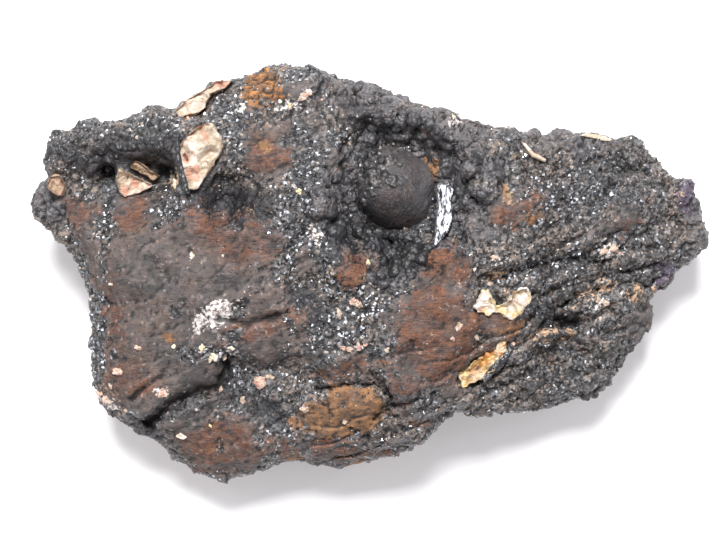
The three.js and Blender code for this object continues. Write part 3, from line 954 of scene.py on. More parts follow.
def tilted_normal(graph, place, size_mm, tilt):
    """A normal that each small cell turns its own way. Returns it with the cell's three random numbers."""
    colour = graph.cells(place, size_mm, "Color")
    spread = graph.vector("SUBTRACT", colour, (0.5, 0.5, 0.5))
    turned = graph.vector("ADD", graph.out("ShaderNodeNewGeometry", "Normal"), graph.scaled(spread, tilt))
    return graph.vector("NORMALIZE", turned), graph.parts(colour)


def brown_rock(graph, place, fine, middle, broad, streaked):
    """Brown rock with rust in clouds along the bedding, pale specks, dark pits and thin cracks."""
    cloud = streaked + (middle - 0.5) * 0.8
    rusty = graph.step(graph.kept("rust") * 0.6 + cloud, 0.55, 0.95)
    spread = graph.noise(graph.vector("ADD", place, (0.1, 0.0, 0.0)), 3.4, 4.0, 0.65)
    rusty = rusty * graph.step(spread, 0.4, 0.56, 0.4, 1.0)
    brown = graph.over(rgba(0.072, 0.066, 0.065), rgba(0.11, 0.081, 0.068), broad, 0.42, 0.58)
    brown = graph.over(brown, rgba(0.108, 0.093, 0.092), middle, 0.45, 0.6, 0.75)
    brown = graph.over(brown, rgba(0.06, 0.056, 0.057), middle, 0.45, 0.34, 0.6)
    brown = graph.mix(rusty, brown, rgba(0.14, 0.061, 0.034))
    brown = graph.over(brown, rgba(0.03, 0.026, 0.026), cloud, 0.42, 0.3, 0.8)
    brown = graph.over(brown, rgba(0.022, 0.018, 0.02), fine, 0.42, 0.3, 0.85)
    speck = graph.parts(graph.cells(place, 0.45, "Color"))[0]
    brown = graph.over(brown, rgba(0.27, 0.23, 0.21), speck, 0.95, 0.99, 0.6)
    brown = graph.over(brown, rgba(0.22, 0.17, 0.145), streaked, 0.6, 0.74, 0.45)
    wander = graph.noise(graph.stretched(place, -0.12, (0.3, 1.7, 1.0)), 1.1, 4.0, 0.7)
    cracks = graph.step(abs(wander - 0.5), 0.026, 0.006)
    cracked = cracks * graph.step(middle + graph.kept("rust"), 0.5, 1.1, 0.1, 0.9)
    return graph.mix(cracked, brown, rgba(0.028, 0.015, 0.018)), cloud


def ochre_rock(graph, fine, cloud):
    """Earthy ochre rock, brightest on the peak."""
    ochre = graph.over(rgba(0.12, 0.066, 0.038), rgba(0.215, 0.112, 0.052), cloud, 0.32, 0.65)
    bright = graph.over(rgba(0.13, 0.065, 0.032), rgba(0.36, 0.16, 0.045), cloud, 0.42, 0.7)
    ochre = graph.mix(graph.kept("vivid"), ochre, bright)
    ochre = graph.over(ochre, rgba(0.06, 0.04, 0.03), fine, 0.42, 0.3, 0.5)
    return graph.over(ochre, rgba(0.38, 0.26, 0.16), fine, 0.6, 0.74, 0.6)


def black_crust(graph, place, fine, middle, broad):
    """The crust's colour with painted shade in shaded places, its bright crystal faces, their shine and its
    tilted normal.
    """
    glint = graph.kept("glint")
    grape = graph.kept("grape")
    dark = graph.kept("dark")
    # Fewer crystal faces flash in the grapes and where shade is painted.
    calm = graph.math("MAXIMUM", grape, dark * 0.9)
    lively = graph.step(glint, 0.0, 1.0, 0.4, 1.0) * graph.step(calm, 0.0, 1.0, 1.0, 0.25)
    normal, (chance, shade_part, bright_part) = tilted_normal(graph, place, 0.38, lively * 1.1)
    tone = shade_part * 0.45 + fine * 0.9 + (middle - 0.5) * 0.8
    warm = graph.step(broad + (middle - 0.5) * 0.8, 0.4, 0.66)
    grey = graph.mix(warm, rgba(0.15, 0.149, 0.153), rgba(0.185, 0.148, 0.124))
    crust = graph.over(rgba(0.02, 0.02, 0.022), grey, tone, 0.42, 1.0)
    crust = graph.mix(glint * 0.5, crust, rgba(0.016, 0.017, 0.019))
    crust = graph.over(crust, rgba(0.5, 0.42, 0.35), bright_part, 0.965, 0.99, 0.7)
    dust = graph.mix(middle, rgba(0.055, 0.054, 0.06), rgba(0.115, 0.11, 0.116))
    crust = graph.mix(grape * 0.75, crust, dust)
    crust = graph.mix(graph.kept("violet") * 0.75, crust, rgba(0.05, 0.033, 0.068))
    # Painted shade: the crust is made near black in hollows, pockets and under overhangs.
    crust = graph.mix(dark * 0.9, crust, rgba(0.014, 0.014, 0.018))
    flash = graph.step(chance - graph.step(lively, 0.0, 1.0, 0.99, 0.78), 0.0, 0.06)
    shine = graph.mix(bright_part**1.6, rgba(0.17, 0.18, 0.2), rgba(0.85, 0.88, 0.94))
    return crust, flash, shine, normal


def torn_rock_material():
    material, graph, shader, place = new_material("torn_rock")
    fine = graph.noise(place, 0.55, 3.0, 0.6)
    middle = graph.noise(place, 2.2, 4.0, 0.65)
    broad = graph.noise(place, 8.0, 3.0, 0.55)
    streaked = graph.noise(graph.stretched(place, -0.5, (0.4, 1.6, 1.0)), 1.3, 5.0, 0.7)
    ragged = (fine - 0.5) * 1.4 + (middle - 0.5) * 2.2

    def patch(name, low, high):
        """How much of a finish shows, with the patch's edge made ragged."""
        return graph.step(graph.kept(name) + ragged, low, high)

    is_brown = patch("brown", 0.42, 0.6)
    is_ochre = patch("ochre", 0.4, 0.75)
    is_pale = patch("pale", 0.56, 0.85)
    is_tan = patch("tan", 0.45, 0.8)
    brown_or_ochre = graph.math("MAXIMUM", is_brown, is_ochre)
    bare = graph.math("MAXIMUM", brown_or_ochre, graph.math("MAXIMUM", is_pale, is_tan))
    crust, flash, shine, normal = black_crust(graph, place, fine, middle, broad)
    flash = flash * (1 - bare)
    brown, cloud = brown_rock(graph, place, fine, middle, broad, streaked)
    tan = graph.over(rgba(0.14, 0.085, 0.06), rgba(0.42, 0.29, 0.19), fine, 0.4, 0.62)
    pale = graph.over(rgba(0.2, 0.17, 0.16), rgba(0.66, 0.62, 0.6), fine, 0.4, 0.6)
    surface = graph.mix(is_brown, crust, brown)
    surface = graph.mix(is_tan, surface, tan)
    surface = graph.mix(is_ochre, surface, ochre_rock(graph, fine, cloud))
    surface = graph.mix(is_pale, surface, pale)
    # Painted shade darkens the creases, and a painted highlight lightens the ridges.
    crease = graph.kept("crease")
    surface = graph.over(surface, rgba(0.012, 0.011, 0.012), crease, 0.52, 0.9, 0.85)
    ridge = graph.mix(1.0, surface, rgba(1.45, 1.42, 1.4), "MULTIPLY")
    surface = graph.over(surface, ridge, crease, 0.48, 0.15)
    surface = graph.mix(flash, surface, shine)

    # Crystals tilt the normal in the crust, and noise roughens the bare rock
    plain = graph.out("ShaderNodeNewGeometry", "Normal")
    facing = graph.out("ShaderNodeMix", 1, {0: bare * 0.9, 4: normal, 5: plain}, data_type="VECTOR")
    beads = graph.cells(place, 0.8, "Distance") * graph.kept("grape")
    relief = streaked * 0.6 + fine * 0.4 - beads * 0.9
    bump = graph.bump(relief, 0.9, 0.7, Normal=graph.vector("NORMALIZE", facing))
    roughness = graph.step(bare, 0.0, 1.0, 0.34, 0.8)
    inputs = {"Base Color": surface, "Metallic": flash, "Roughness": roughness, "IOR": 1.5, "Normal": bump}
    graph.fill(shader, inputs)
    return material


torn_rock = torn_rock_material()
print("material:", torn_rock.name)

# %% [markdown]
# ## The grain of the crust
# The black crust is beaded at two sizes, and where grapes grow it swells at a third. Geometry Nodes do
# this: a Voronoi texture gives the distance to the middle of the nearest bead, and each vertex is pushed
# out along its normal as far as a ball of that size would stand out. Brown rock is only torn, so there
# noise is used instead.

# %% Geometry Nodes helpers


def node_group(name, sizes):
    """A Geometry Nodes tree with a mesh going in and out and a named input for each size."""
    tree = bpy.data.node_groups.new(name, "GeometryNodeTree")
    kinds = {"Geometry": "NodeSocketGeometry", "Seed": "NodeSocketInt", "Finish": "NodeSocketMaterial"}
    tree.interface.new_socket("Geometry", in_out="OUTPUT", socket_type=kinds["Geometry"])
    for size in ["Geometry", *sizes]:
        tree.interface.new_socket(size, in_out="INPUT", socket_type=kinds.get(size, "NodeSocketFloat"))
    graph = Graph(tree)
    return tree, graph, graph.outs("NodeGroupInput"), graph.add("NodeGroupOutput")


def put_through(piece, tree, sizes):
    """Runs a piece through a tree with these sizes and keeps the result as plain mesh."""
    modifier = piece.modifiers.new(tree.name, "NODES")
    modifier.node_group = tree
    for item in tree.interface.items_tree:
        if item.in_out == "INPUT" and item.name in sizes:
            modifier[item.identifier] = sizes[item.name]
    return settled(piece)


def bead_height(graph, place, size, reach=0.62):
    """From 0 to 1, the shape of balls of a size packed side by side."""
    away = graph.out("ShaderNodeTexVoronoi", "Distance", {"Vector": place, "Scale": 1.0 / size})
    return graph.math("SQRT", graph.math("MAXIMUM", 1.0 - (away / reach) ** 2.0, 0.0))


# %% Bead the crust
CRUST_SIZES_MM = {
    "Grape": 2.5,
    "Bead": 1.25,
    "Grain": 0.75,
    "Grape Height": 0.8,
    "Bead Height": 0.4,
    "Grain Height": 0.25,
    "Tear": 1.0,
}


def beaded_crust_tree():
    tree, graph, given, result = node_group("beaded_crust", [*CRUST_SIZES_MM, "Finish"])
    place = graph.out("GeometryNodeInputPosition")
    crusted = (1.0 - graph.kept("brown")) * (1.0 - graph.kept("dark") * 0.5)
    beads = bead_height(graph, place, given["Bead"]) * given["Bead Height"]
    grains = bead_height(graph, place, given["Grain"]) * given["Grain Height"]
    grapes = bead_height(graph, place, given["Grape"], 0.7) * given["Grape Height"] * graph.kept("grape")
    torn = (graph.noise(place, 0.9, 4.0, 0.7) - 0.5) * given["Tear"]
    torn = torn * graph.step(crusted, 0.0, 1.0, 0.45, 1.6)
    height = ((beads + grains) * crusted + grapes + torn) * graph.kept("up")
    offset = graph.scaled(graph.out("GeometryNodeInputNormal"), height)
    moved = graph.out("GeometryNodeSetPosition", 0, {"Geometry": given["Geometry"], "Offset": offset})
    real = graph.out("GeometryNodeRealizeInstances", 0, {"Geometry": moved})
    final = graph.out("GeometryNodeSetMaterial", 0, {"Geometry": real, "Material": given["Finish"]})
    graph.fill(result, {"Geometry": final})
    return tree


crust_sizes = {name: size * MM for name, size in CRUST_SIZES_MM.items()}
skin = put_through(skin, beaded_crust_tree(), {**crust_sizes, "Finish": torn_rock})
shade(skin.data, True)
dress(skin.data, torn_rock)
keep_crease(skin.data, 0.22)
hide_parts("rock")
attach(skin, "root")
print("skin vertices:", len(skin.data.vertices))

# %% Find the height of the skin
LOOK_FROM = 0.08
skin_tree = BVHTree.FromPolygons(
    [vertex.co for vertex in skin.data.vertices], [polygon.vertices for polygon in skin.data.polygons]
)


def skin_height(x_mm, y_mm):
    """Height of the skin at a place, in millimetres."""
    hit = skin_tree.ray_cast(Vector((x_mm * MM, y_mm * MM, LOOK_FROM)), Vector((0, 0, -1)))[0]
    return None if hit is None else hit.z / MM


# %% [markdown]
# ## Grapes of goethite
# Goethite grew here as round grapes of 1 to 3 mm. They are too many to place by hand, so Geometry Nodes
# scatter points on the skin where a field says so, put an uneven ball on each and sink it a little. The
# balls are then remeshed as one skin, so that they grow into each other as the real ones do.

# %% Trees that scatter balls and crystals
SCATTER_SIZES = ["Apart", "Smallest", "Largest", "Sink", "Lumpiness"]
MERIDIANS_OF_OCTAHEDRON = 4
FULL_TURN = 6.3


def scatter_tree(name, shape_name):
    """Balls or small crystals, scattered over a skin where the field 'where' is high."""
    tree, graph, given, result = node_group(name, [*SCATTER_SIZES, "Seed", "Finish"])
    points = graph.outs(
        "GeometryNodeDistributePointsOnFaces",
        {
            "Mesh": given["Geometry"],
            "Distance Min": given["Apart"],
            "Density Max": 3.0 / given["Apart"] ** 2.0,
            "Density Factor": graph.kept("where"),
            "Seed": given["Seed"],
        },
        distribute_method="POISSON",
    )
    if shape_name == "ball":
        shape = graph.out("GeometryNodeMeshIcoSphere", 0, {"Radius": 1.0, "Subdivisions": 2})
    else:
        rings = {"Segments": MERIDIANS_OF_OCTAHEDRON, "Rings": 2, "Radius": 1.0}
        shape = graph.out("GeometryNodeMeshUVSphere", 0, rings)
    limits = {2: given["Smallest"], 3: given["Largest"], "Seed": given["Seed"]}
    size = graph.out("FunctionNodeRandomValue", 1, limits, data_type="FLOAT")
    limits = {0: (0.75, 0.75, 0.7), 1: (1.3, 1.3, 1.15)}
    uneven = graph.out("FunctionNodeRandomValue", 0, limits, data_type="FLOAT_VECTOR")
    limits = {0: (0, 0, 0), 1: (FULL_TURN, FULL_TURN, FULL_TURN)}
    turn = graph.out("FunctionNodeRandomValue", 0, limits, data_type="FLOAT_VECTOR")
    lowered = graph.scaled(points["Normal"], given["Sink"] * -1.0)
    placed = graph.out("GeometryNodeSetPosition", 0, {"Geometry": points["Points"], "Offset": lowered})
    balls = graph.out(
        "GeometryNodeInstanceOnPoints",
        0,
        {"Points": placed, "Instance": shape, "Rotation": turn, "Scale": graph.scaled(uneven, size)},
    )
    real = graph.out("GeometryNodeRealizeInstances", 0, {"Geometry": balls})
    lump = (graph.noise(graph.out("GeometryNodeInputPosition"), 1.4, 2.0) - 0.5) * given["Lumpiness"]
    offset = graph.scaled(graph.out("GeometryNodeInputNormal"), lump)
    shaped = graph.out("GeometryNodeSetPosition", 0, {"Geometry": real, "Offset": offset})
    is_round = {"Geometry": shaped, "Shade Smooth": shape_name == "ball"}
    smooth = graph.out("GeometryNodeSetShadeSmooth", 0, is_round)
    final = graph.out("GeometryNodeSetMaterial", 0, {"Geometry": smooth, "Material": given["Finish"]})
    graph.fill(result, {"Geometry": final})
    return tree


grape_tree = scatter_tree("goethite_grapes", "ball")
druse_tree = scatter_tree("crystal_druse", "octahedron")
FIELDS = {*PATCHES, "brown", "rust", "crease", "up", "knobbly", "where"}


def scattered(name, carrier, where, tree, sizes_mm, seed, finish, melt_mm=0.0):
    """A piece of many small shapes on a carrier's surface. 'where' is the chance at each vertex.

    The sizes are those of SCATTER_SIZES. With melt_mm the shapes are remeshed as one skin.
    """
    piece = new_object(name, carrier.data.copy())
    keep_field(piece.data, "where", where)
    sizes = {size_name: size * MM for size_name, size in zip(SCATTER_SIZES, sizes_mm)}
    piece = put_through(piece, tree, {**sizes, "Seed": seed, "Finish": finish})
    for field_name in [field.name for field in piece.data.attributes if field.name in FIELDS]:
        piece.data.attributes.remove(piece.data.attributes[field_name])
    if melt_mm:
        remeshed(piece, melt_mm, 1, 0)
        dress(piece.data, finish)
        shade(piece.data, True)
        # The painted shade of hollows and overhangs, for the finish of the melted shapes.
        keep_field(piece.data, "dark", patch_field(vertex_places(piece.data), PAINTED_SHADE_SPOTS, 2.0))
        keep_crease(piece.data, 0.1)
    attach(piece, "root")
    print(name + ":", len(piece.data.polygons), "faces")
    return piece


# %% Finish of the grapes


def botryoidal_material(name, low, high, rough, tint, sparkle=0.0):
    """Near-black goethite with a satin skin of tiny beads, greyer in random flecks, with painted shade
    between the beads, in creases and in shaded hollows.
    """
    material, graph, shader, place = new_material(name)
    broad = graph.noise(place, 5.0, 3.0, 0.6)
    fine = graph.noise(place, 0.45, 4.0, 0.7)
    beads = graph.cells(place, 0.75, "Distance")
    colour = graph.over(low, high, broad, 0.35, 0.68)
    colour = graph.over(colour, tint, fine, 0.52, 0.72, 0.7)
    # Painted shade between the beads: the colour darkens away from each bead's middle.
    colour = graph.over(colour, rgba(0.008, 0.008, 0.009), beads, 0.35, 0.62, 0.7)
    # Painted shade: near black in hollows, pockets and under overhangs.
    colour = graph.mix(graph.kept("dark") * 0.9, colour, rgba(0.01, 0.01, 0.011))
    # Painted shade in the creases.
    colour = graph.over(colour, rgba(0.006, 0.006, 0.007), graph.kept("crease"), 0.52, 0.85, 0.9)
    if sparkle:
        chance = graph.parts(graph.cells(place, 0.36, "Color"))[0]
        flash = graph.step(chance, 1 - sparkle, 1.03 - sparkle)
        colour = graph.mix(flash, colour, rgba(0.4, 0.42, 0.47))
        graph.fill(shader, {"Metallic": flash})
    roughness = graph.step(fine, 0.3, 0.7, rough - 0.08, rough + 0.15)
    bump = graph.bump(fine * 0.35 - beads * 0.9, 0.9, 0.28)
    graph.fill(shader, {"Base Color": colour, "Roughness": roughness, "IOR": 1.6, "Normal": bump})
    return material


grape_skin = botryoidal_material(
    "grape_skin", rgba(0.045, 0.044, 0.048), rgba(0.1, 0.095, 0.1), 0.42, rgba(0.16, 0.15, 0.155), 0.015
)
fine_skin = botryoidal_material(
    "fine_grape_skin", rgba(0.04, 0.039, 0.041), rgba(0.105, 0.096, 0.092), 0.36,
    rgba(0.19, 0.175, 0.165), 0.035,
)
shell_skin = botryoidal_material(
    "shell_skin", rgba(0.02, 0.022, 0.028), rgba(0.05, 0.054, 0.066), 0.28, rgba(0.13, 0.14, 0.17)
)

# %% Scatter the grapes
points = vertex_places(skin.data)
facing = vertex_normals(skin.data)[:, 2]
steep = smoothstep(-0.1, 0.3, facing)
crystal_room = smoothstep(1.4, 2.2, crystal_away)
brown, ochre, dark, grape = (field_of(skin.data, name) for name in ("brown", "ochre", "dark", "grape"))

grape_where = grape * smoothstep(0.05, 0.5, facing) * (1 - dark * 0.6)
grape_where *= 0.15 + 0.5 * smoothstep(-0.2, 0.5, lumps(points, 4, 22))
grape_where = np.where(grape_where < 0.16, 0, grape_where) * crystal_room * (1 - brown)
grape_sizes = (1.1, 0.5, 1.2, 0.5, 0.8)
scattered(
    "grapes", skin, grape_where, grape_tree, grape_sizes, seed=4,
    finish=grape_skin, melt_mm=0.26,
)

fine_where = patch_field(points, FINE_GRAPE_SPOTS, 1.6) * steep
fine_where = fine_where * (0.45 + 0.4 * smoothstep(-0.4, 0.4, lumps(points, 3, 24)))
fine_where = np.where(fine_where < 0.2, 0, fine_where) * crystal_room * (1 - ochre)
fine_sizes = (0.72, 0.3, 0.75, 0.25, 0.5)
scattered(
    "fine_grapes", skin, fine_where, grape_tree, fine_sizes, seed=5,
    finish=fine_skin, melt_mm=0.17,
)

# %% [markdown]
# ## Glittering druse
# Between the grapes the crust glitters, because it is a druse of tiny crystals. Here each one is an
# octahedron of eight flat faces, turned at random. Thousands of them cost few triangles and catch the light
# as real facets do.

# %% Scatter the druse


def druse_material():
    material, graph, shader, place = new_material("druse_crystals")
    tone, chance, _ = graph.parts(graph.cells(place, 0.7, "Color"))
    bright = graph.step(chance, 0.88, 0.92)
    colour = graph.mix(tone, rgba(0.012, 0.012, 0.014), rgba(0.13, 0.125, 0.125))
    colour = graph.mix(bright, colour, rgba(0.55, 0.58, 0.64))
    graph.fill(shader, {"Base Color": colour, "Metallic": bright, "Roughness": 0.25, "IOR": 1.6})
    return material


druse_where = (1 - brown) * steep * (1 - 0.75 * dark)
druse_where *= 0.35 + 0.65 * smoothstep(-0.3, 0.4, lumps(points, 5, 21))
druse_where *= 1 - 0.8 * grape
druse_where *= smoothstep(0.5, 0.9, crystal_away)
druse_sizes = (0.6, 0.12, 0.36, 0.05, 0.0)
scattered(
    "druse", skin, druse_where, druse_tree, druse_sizes, seed=9, finish=druse_material()
)

# %% [markdown]
# ## The dome in the hollow
# The one large dome is smooth, with fine fibres that curve round it, because goethite grows as fans of
# needles. It is shaped from a fine ball: long, thin noise that runs round its axis raises the fibres. Its
# far side is knobbly and passes into the grapes round it, so small knobs are scattered there, up to a
# ragged border.

# %% Shape the dome
DOME_DETAIL = 6
DOME_SHOULDER = {"shoulder": (432, 164, 8, 15, 20)}
dome_middle = np.array([*DOME_MIDDLE_MM, DOME_TOP_MM - DOME_RADIUS_MM])


def dome_piece():
    bm = bmesh.new()
    bmesh.ops.create_icosphere(bm, subdivisions=DOME_DETAIL, radius=1.0)
    unit = np.array([vertex.co[:] for vertex in bm.verts])
    angle = np.arctan2(unit[:, 1], unit[:, 0])
    fall = np.arccos(np.clip(unit[:, 2], -1, 1))
    swirl = angle + 0.7 * fall
    around = np.stack([np.cos(swirl) * 9, np.sin(swirl) * 9, fall * 3], axis=1)
    fibre = lumps(around, 0.35, 31) * smoothstep(0.12, 0.5, fall)
    lump = lumps(unit, 0.6, 32) * 0.5 + lumps(unit, 0.25, 33) * 0.16 + lumps(unit, 0.07, 36) * 0.06
    knobbly = smoothstep(0.0, 0.7, unit[:, 1] * 0.75 - unit[:, 0] * 0.65)
    knobs = np.abs(lumps(unit, 0.16, 34)) * 0.9 + np.abs(lumps(unit, 0.3, 35)) * 0.7
    radius = DOME_RADIUS_MM + lump + 0.08 * fibre + knobbly * (knobs - 0.2)
    places = (unit * radius[:, None] + dome_middle) * MM
    for vertex, place in zip(bm.verts, places):
        vertex.co = place
    buried = [vertex for vertex in bm.verts if vertex.co.z < (DOME_TOP_MM - 1.5 * DOME_RADIUS_MM) * MM]
    bmesh.ops.delete(bm, geom=buried, context="VERTS")
    bmesh.ops.contextual_create(bm, geom=[edge for edge in bm.edges if edge.is_boundary])
    mesh = mesh_of(bm, "dome")
    shade(mesh, True)
    points = vertex_places(mesh)
    keep_field(mesh, "ochre", patch_field(points, DOME_SHOULDER, 0.8))
    across = (points - dome_middle) @ np.array([-0.65, 0.75, 0]) / DOME_RADIUS_MM
    keep_field(mesh, "knobbly", smoothstep(-0.1, 0.45, across))
    return mesh


# %% Finish of the dome


def dome_material():
    """Dark fibrous goethite: threads that curve round the dome, pale hairs and a rusty shoulder, with painted
    light on its right side and painted shade on its lower left.
    """
    material, graph, shader, place = new_material("fibrous_dome")
    centred = graph.vector("SUBTRACT", place, tuple(float(v) * MM for v in dome_middle))
    swirls = {"Vector": graph.scaled(centred, 1.0), "Scale": 260.0, "Detail": 3.0}
    rings = graph.out("ShaderNodeTexNoise", "Color", swirls)
    bent = graph.vector("ADD", centred, graph.scaled(rings, 3.4 * MM))
    x, y, _ = graph.outs("ShaderNodeSeparateXYZ", {0: bent}).values()
    reach = graph.math("SQRT", x**2.0 + y**2.0)
    angle = graph.math("ARCTAN2", y, x)
    around = graph.out("ShaderNodeCombineXYZ", 0, {"X": reach * 2600.0, "Y": angle * 1.6})
    thread = {"Vector": around, "Scale": 1.0, "Detail": 3.0, "Roughness": 0.7}
    threads = graph.out("ShaderNodeTexNoise", 0, thread)
    clouds = graph.noise(centred, 3.4, 3.0, 0.6)
    fine = graph.noise(centred, 0.5, 3.0, 0.6)
    colour = graph.over(rgba(0.028, 0.027, 0.029), rgba(0.062, 0.045, 0.043), clouds, 0.4, 0.62)
    colour = graph.mix(graph.step(threads, 0.58, 0.7) * 0.7, colour, rgba(0.22, 0.21, 0.22))
    colour = graph.over(colour, rgba(0.01, 0.009, 0.01), threads, 0.44, 0.34, 0.8)
    colour = graph.over(colour, rgba(0.17, 0.155, 0.155), fine, 0.58, 0.72, 0.7)
    colour = graph.mix(graph.kept("knobbly") * 0.6, colour, rgba(0.075, 0.073, 0.076))
    colour = graph.over(colour, rgba(0.2, 0.095, 0.05), graph.kept("ochre") + (clouds - 0.5), 0.4, 0.7, 0.85)
    x, y, _ = graph.outs("ShaderNodeSeparateXYZ", {0: centred}).values()
    radius = DOME_RADIUS_MM * MM
    # Painted light: the dome's right side is lightened.
    colour = graph.over(colour, rgba(0.2, 0.19, 0.2), x / radius, 0.2, 0.95, 0.5)
    # Painted shade: the dome's lower left side is darkened to near black.
    shaded = graph.step((x * 0.7 + y * 0.7) / radius, -0.95, 0.0, 0.9, 0.0)
    colour = graph.mix(shaded, colour, rgba(0.012, 0.011, 0.012))
    roughness = graph.step(clouds, 0.3, 0.7, 0.45, 0.62)
    bump = graph.bump(threads + fine * 1.3, 0.8, 0.22)
    graph.fill(shader, {"Base Color": colour, "Roughness": roughness, "IOR": 1.45, "Normal": bump})
    return material


dome_mesh = dome_piece()
dress(dome_mesh, dome_material())
dome = new_object("dome", dome_mesh)
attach(dome, "root")

# %% Knobs on the dome and grapes in the hollow
HOLLOW_MIDDLE_PX = (401, 203)
HOLLOW_REACH_MM = (12.0, 15.0)
knob_where = field_of(dome_mesh, "knobbly") * smoothstep(-0.3, 0.2, vertex_normals(dome_mesh)[:, 2])
knob_where += 0.8 * lumps(vertex_places(dome_mesh), 2.6, 37)
knob_where = np.where(knob_where < 0.72, 0, 1)
knob_sizes = (0.85, 0.5, 0.95, 0.35, 0.6)
scattered(
    "dome_knobs", dome, knob_where, grape_tree, knob_sizes, seed=14,
    finish=fine_skin, melt_mm=0.2,
)

hollow_x, hollow_y = stone_mm(*HOLLOW_MIDDLE_PX)
from_middle = (points[:, 0] - hollow_x) / HOLLOW_REACH_MM[0], (points[:, 1] - hollow_y) / HOLLOW_REACH_MM[1]
from_dome = np.hypot(points[:, 0] - DOME_MIDDLE_MM[0], points[:, 1] - DOME_MIDDLE_MM[1]) / DOME_RADIUS_MM
hollow_where = smoothstep(1.0, 0.85, np.hypot(*from_middle)) * smoothstep(0.98, 1.06, from_dome) * steep
hollow_where = np.where(hollow_where < 0.3, 0, hollow_where) * (1 - brown)
hollow_where *= 1 - ochre
hollow_sizes = (1.3, 0.6, 1.5, 0.5, 1.0)
hollow_grapes = scattered(
    "hollow_grapes", skin, hollow_where, grape_tree, hollow_sizes, seed=12,
    finish=grape_skin, melt_mm=0.24,
)
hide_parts("hollow_crust")

# %% [markdown]
# ## Small bright pieces
# A dozen small things catch the eye: a break beside the dome painted near white as a reflection of the
# light, a thin flake on the top edge, a pale blade, two dark shells that hold a crystal on one side, and
# grains of cream mineral. Each lies on the skin, at the height that a ray cast down finds, and a root reaches
# down from it, so that nothing floats.

# %% Slabs that lie on the skin
SLAB_VOXEL_MM = 0.22
SLAB_ROUGH_MM = 0.12


def slab(name, outline_px, finish, slot, rise_mm, thick_mm, root_mm, seed):
    """A thin piece on an outline that follows the skin below it. It reaches root_mm down from its rise."""
    outline = [stone_mm(*corner) for corner in outline_px]
    bm = bmesh.new()
    bm.faces.new([bm.verts.new((x * MM, y * MM, 0)) for x, y in outline])
    for item in bmesh.ops.extrude_face_region(bm, geom=list(bm.faces))["geom"]:
        if isinstance(item, bmesh.types.BMVert):
            item.co.z += (thick_mm + root_mm) * MM
    bmesh.ops.recalc_face_normals(bm, faces=bm.faces)
    piece = remeshed(joined(name, [mesh_of(bm, name)]), SLAB_VOXEL_MM, 2, 0)
    mesh = piece.data
    points = vertex_places(mesh)
    heights = np.array([skin_height(x, y) or np.nan for x, y in points[:, :2]])
    middle_height = np.nanmean(heights)
    heights = np.where(np.isnan(heights), middle_height, 0.75 * middle_height + 0.25 * heights)
    points[:, 2] += heights + rise_mm - root_mm
    rough = SLAB_ROUGH_MM * lumps(points, 0.8, seed) + 0.5 * SLAB_ROUGH_MM * lumps(points, 0.35, seed + 1)
    points += vertex_normals(mesh) * rough[:, None]
    set_places(mesh, points)
    shade(mesh, True)
    dress(mesh, finish)
    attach(piece, "root")
    print(name, "lies at", round(float(middle_height), 1), "mm")


def painted_reflection_material():
    """A fresh break whose silvery white is a painted reflection of the light, with dark veins along it."""
    material, graph, shader, place = new_material("break_painted_as_reflection")
    tall = graph.stretched(place, -0.12, (1.0, 0.3, 1.0))
    fine = graph.noise(tall, 0.6, 4.0, 0.7)
    veins = graph.step(abs(graph.noise(tall, 1.0, 2.0, 0.6) - 0.5), 0.035, 0.01)
    dark = graph.math("MAXIMUM", veins, graph.step(fine, 0.47, 0.42))
    # Painted reflection: the break is coloured near white and silver, as light reflected from it.
    white = graph.over(rgba(0.5, 0.51, 0.56), rgba(0.93, 0.94, 0.97), fine, 0.48, 0.58)
    colour = graph.mix(dark, white, rgba(0.03, 0.03, 0.04))
    bump = graph.bump(fine, 0.6, 0.3)
    graph.fill(shader, {"Base Color": colour, "Metallic": 0.35, "Roughness": 0.3, "Normal": bump})
    return material


# %% Make the slabs
BREAK_OUTLINE = [
    (436, 185), (441, 183), (443, 187), (449, 183), (452, 191), (449, 202), (452, 214), (448, 231),
    (441, 240), (433, 247), (435, 228), (437, 205),
]
FLAKE_OUTLINE = [(577, 136), (586, 134), (600, 136), (611, 140), (608, 142), (598, 141), (586, 138)]
BLADE_OUTLINE = [(519, 144), (522, 145), (530, 154), (543, 161), (542, 164), (530, 159), (523, 152)]
SEAM_OUTLINE = [
    (509, 342), (513, 346), (502, 362), (491, 375), (483, 382), (480, 378), (491, 364), (503, 348),
]
SHELL_OUTLINE = [
    (179, 140), (183, 137), (185, 160), (190, 182), (194, 196), (188, 195), (183, 180), (180, 160),
]
cream = FINISHES["pale_crystal"], "pale_crystal"
shell = shell_skin, "iron_rock"
painted_reflection_finish = painted_reflection_material(), "goethite_crust"
# The break beside the dome carries a painted reflection of the light.
slab("painted_reflection_break", BREAK_OUTLINE, *painted_reflection_finish, rise_mm=1.6, thick_mm=0.8, root_mm=2.8, seed=61)
slab("top_flake", FLAKE_OUTLINE, *cream, rise_mm=1.4, thick_mm=0.4, root_mm=1.0, seed=63)
slab("pale_blade", BLADE_OUTLINE, *cream, rise_mm=0.9, thick_mm=0.5, root_mm=1.0, seed=65)
slab("seam_shell", SEAM_OUTLINE, *shell, rise_mm=1.7, thick_mm=0.7, root_mm=2.0, seed=69)
slab("kite_shell", SHELL_OUTLINE, *shell, rise_mm=1.3, thick_mm=0.8, root_mm=6.0, seed=67)

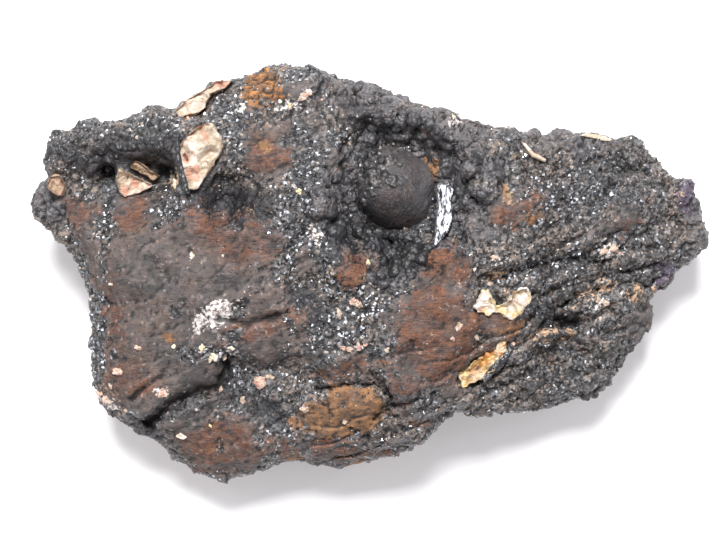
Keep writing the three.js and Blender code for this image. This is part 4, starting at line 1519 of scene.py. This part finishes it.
# %% Small grains
GRAINS = {
    "white": [
        (245, 109, 5), (281, 104, 4), (292, 108, 4), (195, 256, 5), (225, 256, 2), (175, 346, 3),
        (204, 347, 4), (214, 357, 5), (225, 355, 4), (233, 347, 4), (114, 284, 3), (181, 436, 6),
        (210, 426, 3), (300, 193, 3), (367, 263, 4), (140, 139, 3), (451, 119, 4), (472, 270, 3),
        (173, 179, 5), (179, 186, 5),
    ],
    "cream": [
        (308, 97, 5), (302, 101, 4), (140, 347, 4), (118, 371, 6), (110, 386, 4), (98, 394, 5),
        (106, 399, 5), (163, 393, 6), (125, 411, 4), (260, 382, 7), (270, 377, 4), (221, 391, 5),
        (243, 401, 5), (304, 408, 5), (343, 346, 3), (350, 347, 4), (358, 345, 4), (365, 343, 3),
        (386, 348, 4), (359, 304, 7), (352, 300, 5), (340, 313, 5), (456, 326, 5), (474, 336, 4),
        (451, 337, 4), (488, 284, 4), (491, 258, 4), (602, 251, 6), (612, 248, 5), (620, 254, 4),
        (596, 299, 5), (606, 303, 5), (510, 344, 4), (345, 420, 4), (193, 113, 4), (190, 121, 3),
    ],
}
PINK_CREAM = rgba(0.72, 0.6, 0.52)
pink_grain = crystal_material("pink_cream_grain", PINK_CREAM, rgba(0.5, 0.27, 0.2), CREAM_DEEP, 0.36)
GRAIN_FINISHES = {
    "white": (FINISHES["white_crystal"], "white_crystal"),
    "cream": (pink_grain, "pale_crystal"),
}


def grain_mesh(name, places, seed):
    """Small broken grains, each an uneven ball pressed half into the skin."""
    generator = np.random.default_rng(seed)
    bm = bmesh.new()
    for px, py, radius_px in places:
        x, y = stone_mm(px, py)
        z = skin_height(x, y)
        if z is None:
            continue
        radius = 0.8 * radius_px * MM_PER_PIXEL
        made = bmesh.ops.create_icosphere(bm, subdivisions=3, radius=1.0)["verts"]
        stretch = 0.7 + 0.6 * generator.random(3)
        unit = np.array([vertex.co[:] for vertex in made])
        shift = generator.random(3) * 40
        size = radius * (0.85 + 0.6 * lumps(unit + shift, 0.8, seed) + 0.3 * lumps(unit + shift, 0.4, seed))
        local = unit * size[:, None] * stretch
        local[:, 2] *= 0.75
        for vertex, offset in zip(made, local):
            vertex.co = ((x + offset[0]) * MM, (y + offset[1]) * MM, (z + offset[2]) * MM)
    return mesh_of(bm, name)


for seed, (tint, places) in enumerate(GRAINS.items(), start=71):
    finish, slot = GRAIN_FINISHES[tint]
    grains = new_object(tint + "_grains", grain_mesh(tint + "_grains", places, seed))
    dress(grains.data, finish)
    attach(grains, "root")
    print(grains.name, len(places))
